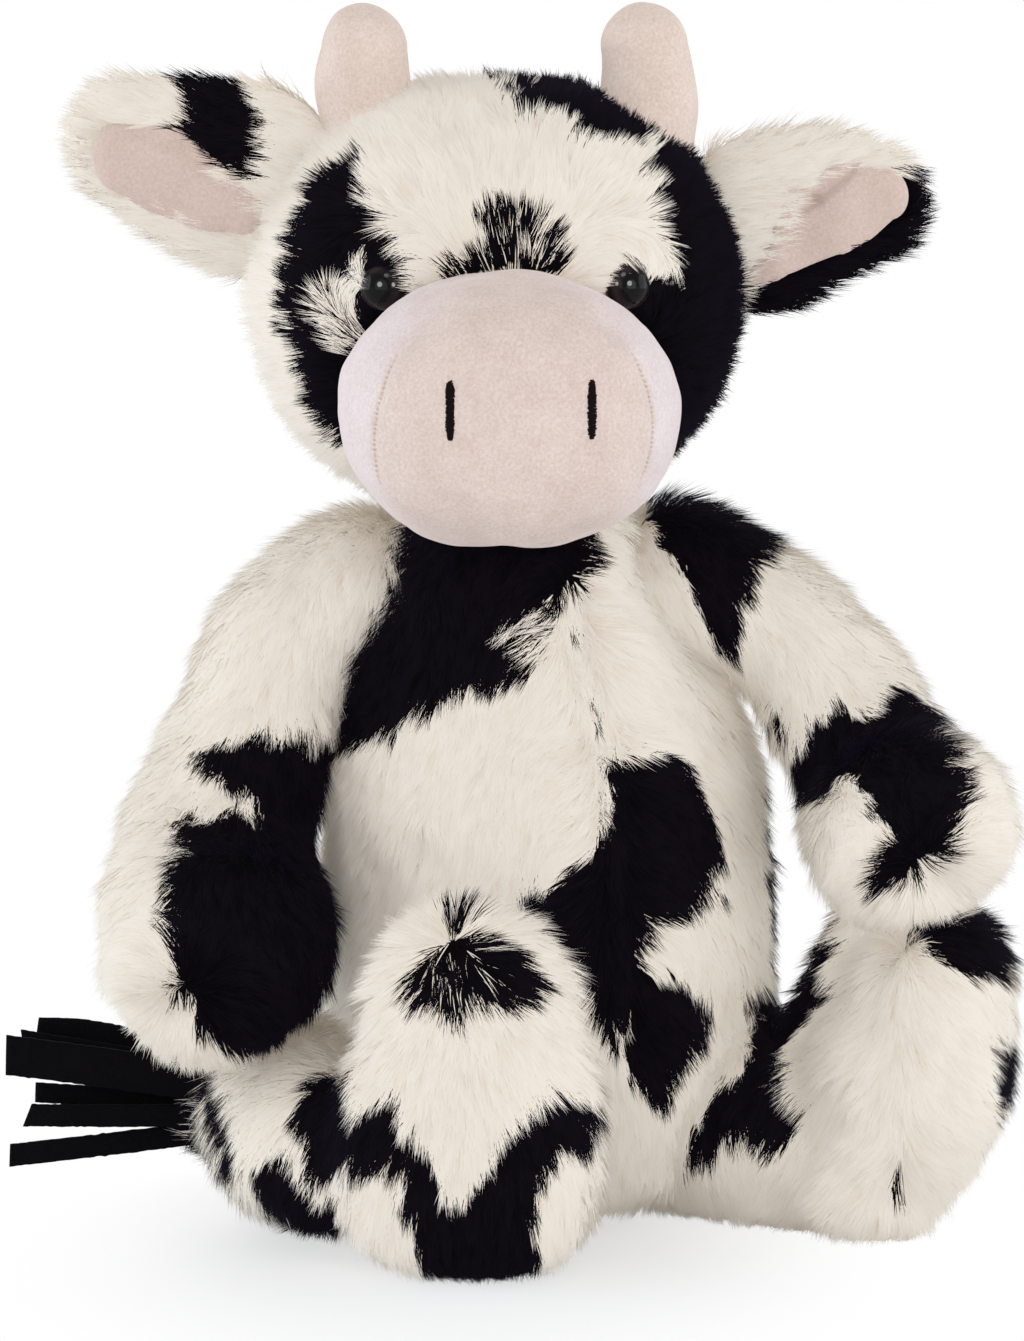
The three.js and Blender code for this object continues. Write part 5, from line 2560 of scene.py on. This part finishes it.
@dataclass
class Tail:
    """A fur tube behind the toy's right hip, with a tassel of flat suede strips in its end."""

    length: float = 70.0
    radius: float = 11.6
    back: float = 24.0
    height: float = 12.0
    across_share: float = 0.25
    pile_depth: float = 2.6
    path: Rows = (
        (0.12, -0.02, 0),
        (-0.12, 0.08, 0),
        (-0.38, 0.16, 0),
        (-0.66, 0.19, 0),
        (-0.88, 0.19, 0),
    )
    girths: tuple[float, ...] = (0.85, 0.9, 1.0)
    strip_length: float = 37.0
    strip_width: float = 8.2
    strip_thickness: float = 0.9
    strip_spread: float = 2.0  # from one strip's middle to the next one's
    wave: float = 0.35  # how far a strip waves
    waves: float = 5.2  # how far round a wave goes on its length, in radians
    bowl: float = 0.25  # how far its edges curl up
    fray: float = 0.05  # how unevenly it is cut
    strips: tuple[Strip, ...] = (
        Strip(0.74, 1.0, 1.0, 8.5, 0.6, -0.5),
        Strip(0.04, 0.88, 0.56, 0.0, 0.0, 0.9),
        Strip(-0.34, 0.99, 0.56, -7.6, -0.4, 0.4),
        Strip(0.26, 0.84, 0.5, 2.0, -0.5, 0.0),
        Strip(0.7, 0.92, 0.8, 11.0, 0.8, -1.2),
        Strip(0.76, 0.8, 0.8, 34.0, 11.6, -1.6),
    )

    SEED = 90
    TURN = 6.28  # a whole wave, in radians
    STEPS = 60
    CUTS = 8

    def line(self) -> np.ndarray:
        """The tail's middle line."""
        root = np.array([-FRAME.hip_spread * self.across_share, self.back, self.height])
        return root + self.length * np.array(self.path, float)

    def build(self, furs: Furs, torso: Object) -> None:
        """Builds and dresses the tail and its tassel.

        Args:
            furs: The fur's materials.
            torso: The trunk's bag, which covers the tail's root.
        """
        girths = self.radius * np.array(self.girths)
        form = bag(self.line(), girths, girths, UP, sides=36)
        cloth = plush("tail_plush", [form], self.pile_depth, lump=0.3, voxel=1.3, seed=44)
        tip = Blot(tuple(self.line()[-1]), (15, 14, 14), share=0.75)
        furs.cover(
            cloth,
            "tail",
            ("tail",),
            Pile(length=7.5),
            Comb((-1.0, 0.1, -0.25)),
            Coat((tip, Blot((-40, 36, 14), (9, 12, 12))), seed=71),
            [Bare(torso, depth=4.0)],
            seed=50,
        )
        suede = TASSEL_SUEDE.material()
        for which, strip in enumerate(self.strips):
            self.cut(which, strip, suede)

    def cut(self, which: int, strip: Strip, suede: Material) -> None:
        """Cuts one strip of the tassel, slightly waved, with a blunt end.

        Args:
            which: The strip's number.
            strip: Its measures.
            suede: Its material.
        """
        form = Form(np.array(self.strip_places(which, strip)), self.strip_faces())
        end = self.line()[-1]
        apart = self.strip_spread * (which - (len(self.strips) - 1) / 2)
        seat = Vector((end[0], end[1] + apart, end[2] + self.radius * strip.rise))
        pose = Matrix.Translation(seat) @ Matrix.Rotation(math.radians(strip.slope), 4, "Y")
        made = mesh_of(f"tassel_lace_{which + 1}", form.posed(pose))
        spots = places_of(made.data)
        spots[:, 2] = np.maximum(spots[:, 2], 0.1)
        move_places(made.data, spots)
        dress(made, suede, "tail")
        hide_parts(f"tassel_strip_{which + 1}")

    def strip_places(self, which: int, strip: Strip) -> list[Spot]:
        """A strip's places, in rows across it: under and upper face by turns.

        Args:
            which: The strip's number.
            strip: Its measures.

        Returns:
            The places, in a frame whose X points back along the strip.
        """
        draw = np.random.default_rng(self.SEED + which)
        length = self.strip_length * strip.long + self.radius
        width = self.strip_width * strip.wide
        phase = draw.uniform(0, self.TURN)
        places = []
        for x in np.linspace(0, 1, self.STEPS):
            wave = self.wave * math.sin(phase + self.waves * x) * x
            fray = draw.normal(0, self.fray)
            for y in np.linspace(-1, 1, self.CUTS):
                bowl = self.bowl * (y**2 - 0.5) * x
                edge = y * (width / 2 + fray * (abs(y) == 1)) - strip.sag * x**3
                out = self.radius - length * x + strip.slant * y * x**6
                for face in (-0.5, 0.5):
                    places.append((out, wave + bowl + face * self.strip_thickness, edge))
        return places

    def strip_faces(self) -> list[tuple[int, ...]]:
        """The faces of a strip's places, which close it all round.

        Returns:
            The faces.
        """
        steps, cuts = self.STEPS, self.CUTS
        faces = []
        for i in range(steps - 1):
            for j in range(cuts - 1):
                a, b = (i * cuts + j) * 2, ((i + 1) * cuts + j) * 2
                faces.append((a, a + 2, b + 2, b))
                faces.append((a + 1, b + 1, b + 3, a + 3))
            for j in (0, cuts - 1):
                a, b = (i * cuts + j) * 2, ((i + 1) * cuts + j) * 2
                faces.append((a, b, b + 1, a + 1) if j == 0 else (a, a + 1, b + 1, b))
        for i in (0, steps - 1):
            for j in range(cuts - 1):
                a = (i * cuts + j) * 2
                faces.append((a, a + 1, a + 3, a + 2) if i == 0 else (a, a + 2, a + 3, a + 1))
        return faces


# The studio


@dataclass(frozen=True)
class Lamp:
    """A soft round lamp that points at the toy."""

    name: str
    place: Spot  # in metres
    size: float  # its width in metres
    power: float  # in watts
    tint: Spot = (1.0, 1.0, 1.0)
    glint: bool = False  # whether only glossy surfaces show it

    TARGET = np.array((0.0, 0.0, 0.11))  # in metres

    def hang(self) -> None:
        """Makes the lamp."""
        light = bpy.data.lights.new(self.name, "AREA")
        light.shape = "DISK"
        light.size = self.size
        light.energy = self.power
        light.color = self.tint
        made = put_in_scene(self.name, light)
        made.visible_diffuse = not self.glint
        aim(made, np.array(self.place), self.TARGET - np.array(self.place))


COOL = (0.82, 0.91, 1.0)
LAMPS = (
    Lamp("key", (-0.6, -1.3, 0.35), size=1.3, power=4.3),
    Lamp("fill", (0.85, -1.1, 0.3), size=1.0, power=5.4),
    Lamp("rim", (0.25, 1.2, 0.9), size=0.9, power=3.0, tint=(0.92, 0.96, 1.0)),
    Lamp("side_right", (-1.25, 0.1, 0.35), size=1.1, power=7.8, tint=COOL),
    Lamp("side_left", (1.25, 0.1, 0.35), size=1.1, power=4.4, tint=COOL),
    Lamp("catchlight_right", (-0.75, -1.25, 0.5), size=0.5, power=13.6, glint=True),
    Lamp("catchlight_left", (0.75, -1.25, 0.5), size=0.5, power=13.6, glint=True),
    Lamp("catchlight_high", (0.0, -0.87, 1.37), size=0.55, power=6.0, glint=True),
)


@dataclass
class Studio:
    """A white sweep and soft lamps. Its sizes are in metres."""

    reach: float = 12.0  # half the floor's width
    shade_middle: tuple[float, float] = (-0.02, -0.05)  # where the floor is at its least white
    shade_squash: float = 0.74  # what the shade's depth is multiplied by
    white_from: float = 0.03  # how far from there the white starts
    white_by: float = 0.092  # and is whole
    white_least: float = 0.52
    sky: float = 0.735

    def build(self) -> None:
        """Makes the floor, the lamps and the white surroundings."""
        self.floor()
        self.world()
        for lamp in LAMPS:
            lamp.hang()

    def floor(self) -> None:
        """Lays the floor, which fades to white away from the toy."""
        mesh = bpy.data.meshes.new("floor")
        far = self.reach
        corners = [(-far, -far, 0), (far, -far, 0), (far, far, 0), (-far, far, 0)]
        mesh.from_pydata(corners, [], [(0, 1, 2, 3)])
        paper = new_material("matt_white_paper")
        tree = paper.node_tree
        place = add_node(tree, "ShaderNodeTexCoord")
        across, deep = self.shade_middle
        apart = add_node(
            tree,
            "ShaderNodeVectorMath",
            {
                0: place.outputs["Object"],
                1: (1.0, self.shade_squash, 0.0),
                2: (-across, -deep * self.shade_squash, 0.0),
            },
            operation="MULTIPLY_ADD",
        )
        away = {0: apart.outputs["Vector"]}
        gap = add_node(tree, "ShaderNodeVectorMath", away, operation="LENGTH")
        fade = add_node(
            tree,
            "ShaderNodeMapRange",
            {
                "Value": gap.outputs["Value"],
                "From Min": self.white_from,
                "From Max": self.white_by,
                "To Min": self.white_least,
            },
            interpolation_type="SMOOTHSTEP",
        )
        sight = add_node(tree, "ShaderNodeLightPath")
        seen = add_node(
            tree,
            "ShaderNodeMath",
            {0: sight.outputs["Is Camera Ray"], 1: sight.outputs["Is Glossy Ray"]},
            operation="MAXIMUM",
        )
        share = add_node(
            tree,
            "ShaderNodeMath",
            {0: fade.outputs["Result"], 1: seen.outputs[0]},
            operation="MULTIPLY",
        )
        matt = add_node(tree, "ShaderNodeBsdfDiffuse", {"Color": linear("f4f4f5")})
        white = add_node(tree, "ShaderNodeEmission", {"Color": (1, 1, 1, 1), "Strength": 1.0})
        both = add_node(
            tree,
            "ShaderNodeMixShader",
            {0: share.outputs[0], 1: matt.outputs["BSDF"], 2: white.outputs["Emission"]},
        )
        add_node(tree, "ShaderNodeOutputMaterial", {"Surface": both.outputs["Shader"]})
        mesh.materials.append(paper)
        made = put_in_scene("floor", mesh)

    def world(self) -> None:
        """Surrounds the scene with soft light that looks white."""
        world = bpy.data.worlds.new("surround")
        bpy.context.scene.world = world
        world.use_nodes = True
        tree = world.node_tree
        tree.nodes.clear()
        sight = add_node(tree, "ShaderNodeLightPath")
        seen = add_node(
            tree,
            "ShaderNodeMath",
            {0: sight.outputs["Is Camera Ray"], 1: sight.outputs["Is Transmission Ray"]},
            operation="MAXIMUM",
        )
        soft = add_node(tree, "ShaderNodeBackground", {"Color": (1, 1, 1, 1), "Strength": self.sky})
        white = add_node(tree, "ShaderNodeBackground", {"Color": (1, 1, 1, 1), "Strength": 1.0})
        both = add_node(
            tree,
            "ShaderNodeMixShader",
            {0: seen.outputs[0], 1: soft.outputs["Background"], 2: white.outputs["Background"]},
        )
        add_node(tree, "ShaderNodeOutputWorld", {"Surface": both.outputs["Shader"]})


def main() -> None:
    """Builds the toy from the head down, then its studio."""
    logging.basicConfig(level=logging.INFO, format="%(message)s")
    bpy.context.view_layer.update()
    scene = bpy.context.scene
    scene.view_settings.view_transform = "Standard"
    VIEW.camera()
    furs = Furs()
    head, muzzle, horns, ears, eyes = Head(), Muzzle(), Horns(), Ears(), Eyes()
    skull = head.bag()
    muzzle.build()
    eyes.build()
    horns.build()
    ears.build(furs)
    trunk = Torso().build(furs, skull)
    covered = [Bare(muzzle.form(), depth=0.4), Bare(trunk, depth=3.0)]
    covered += [Bare(eyes.form(side), depth=-0.8) for side in Side]
    covered += [Bare(horns.form(side), depth=0.5) for side in Side]
    head.build(furs, skull, covered, eyes)
    for limb in (*ARMS, *LEGS):
        limb.build(furs, trunk)
    Tail().build(furs, trunk)
    Studio().build()


if __name__ == "__main__":
    main()
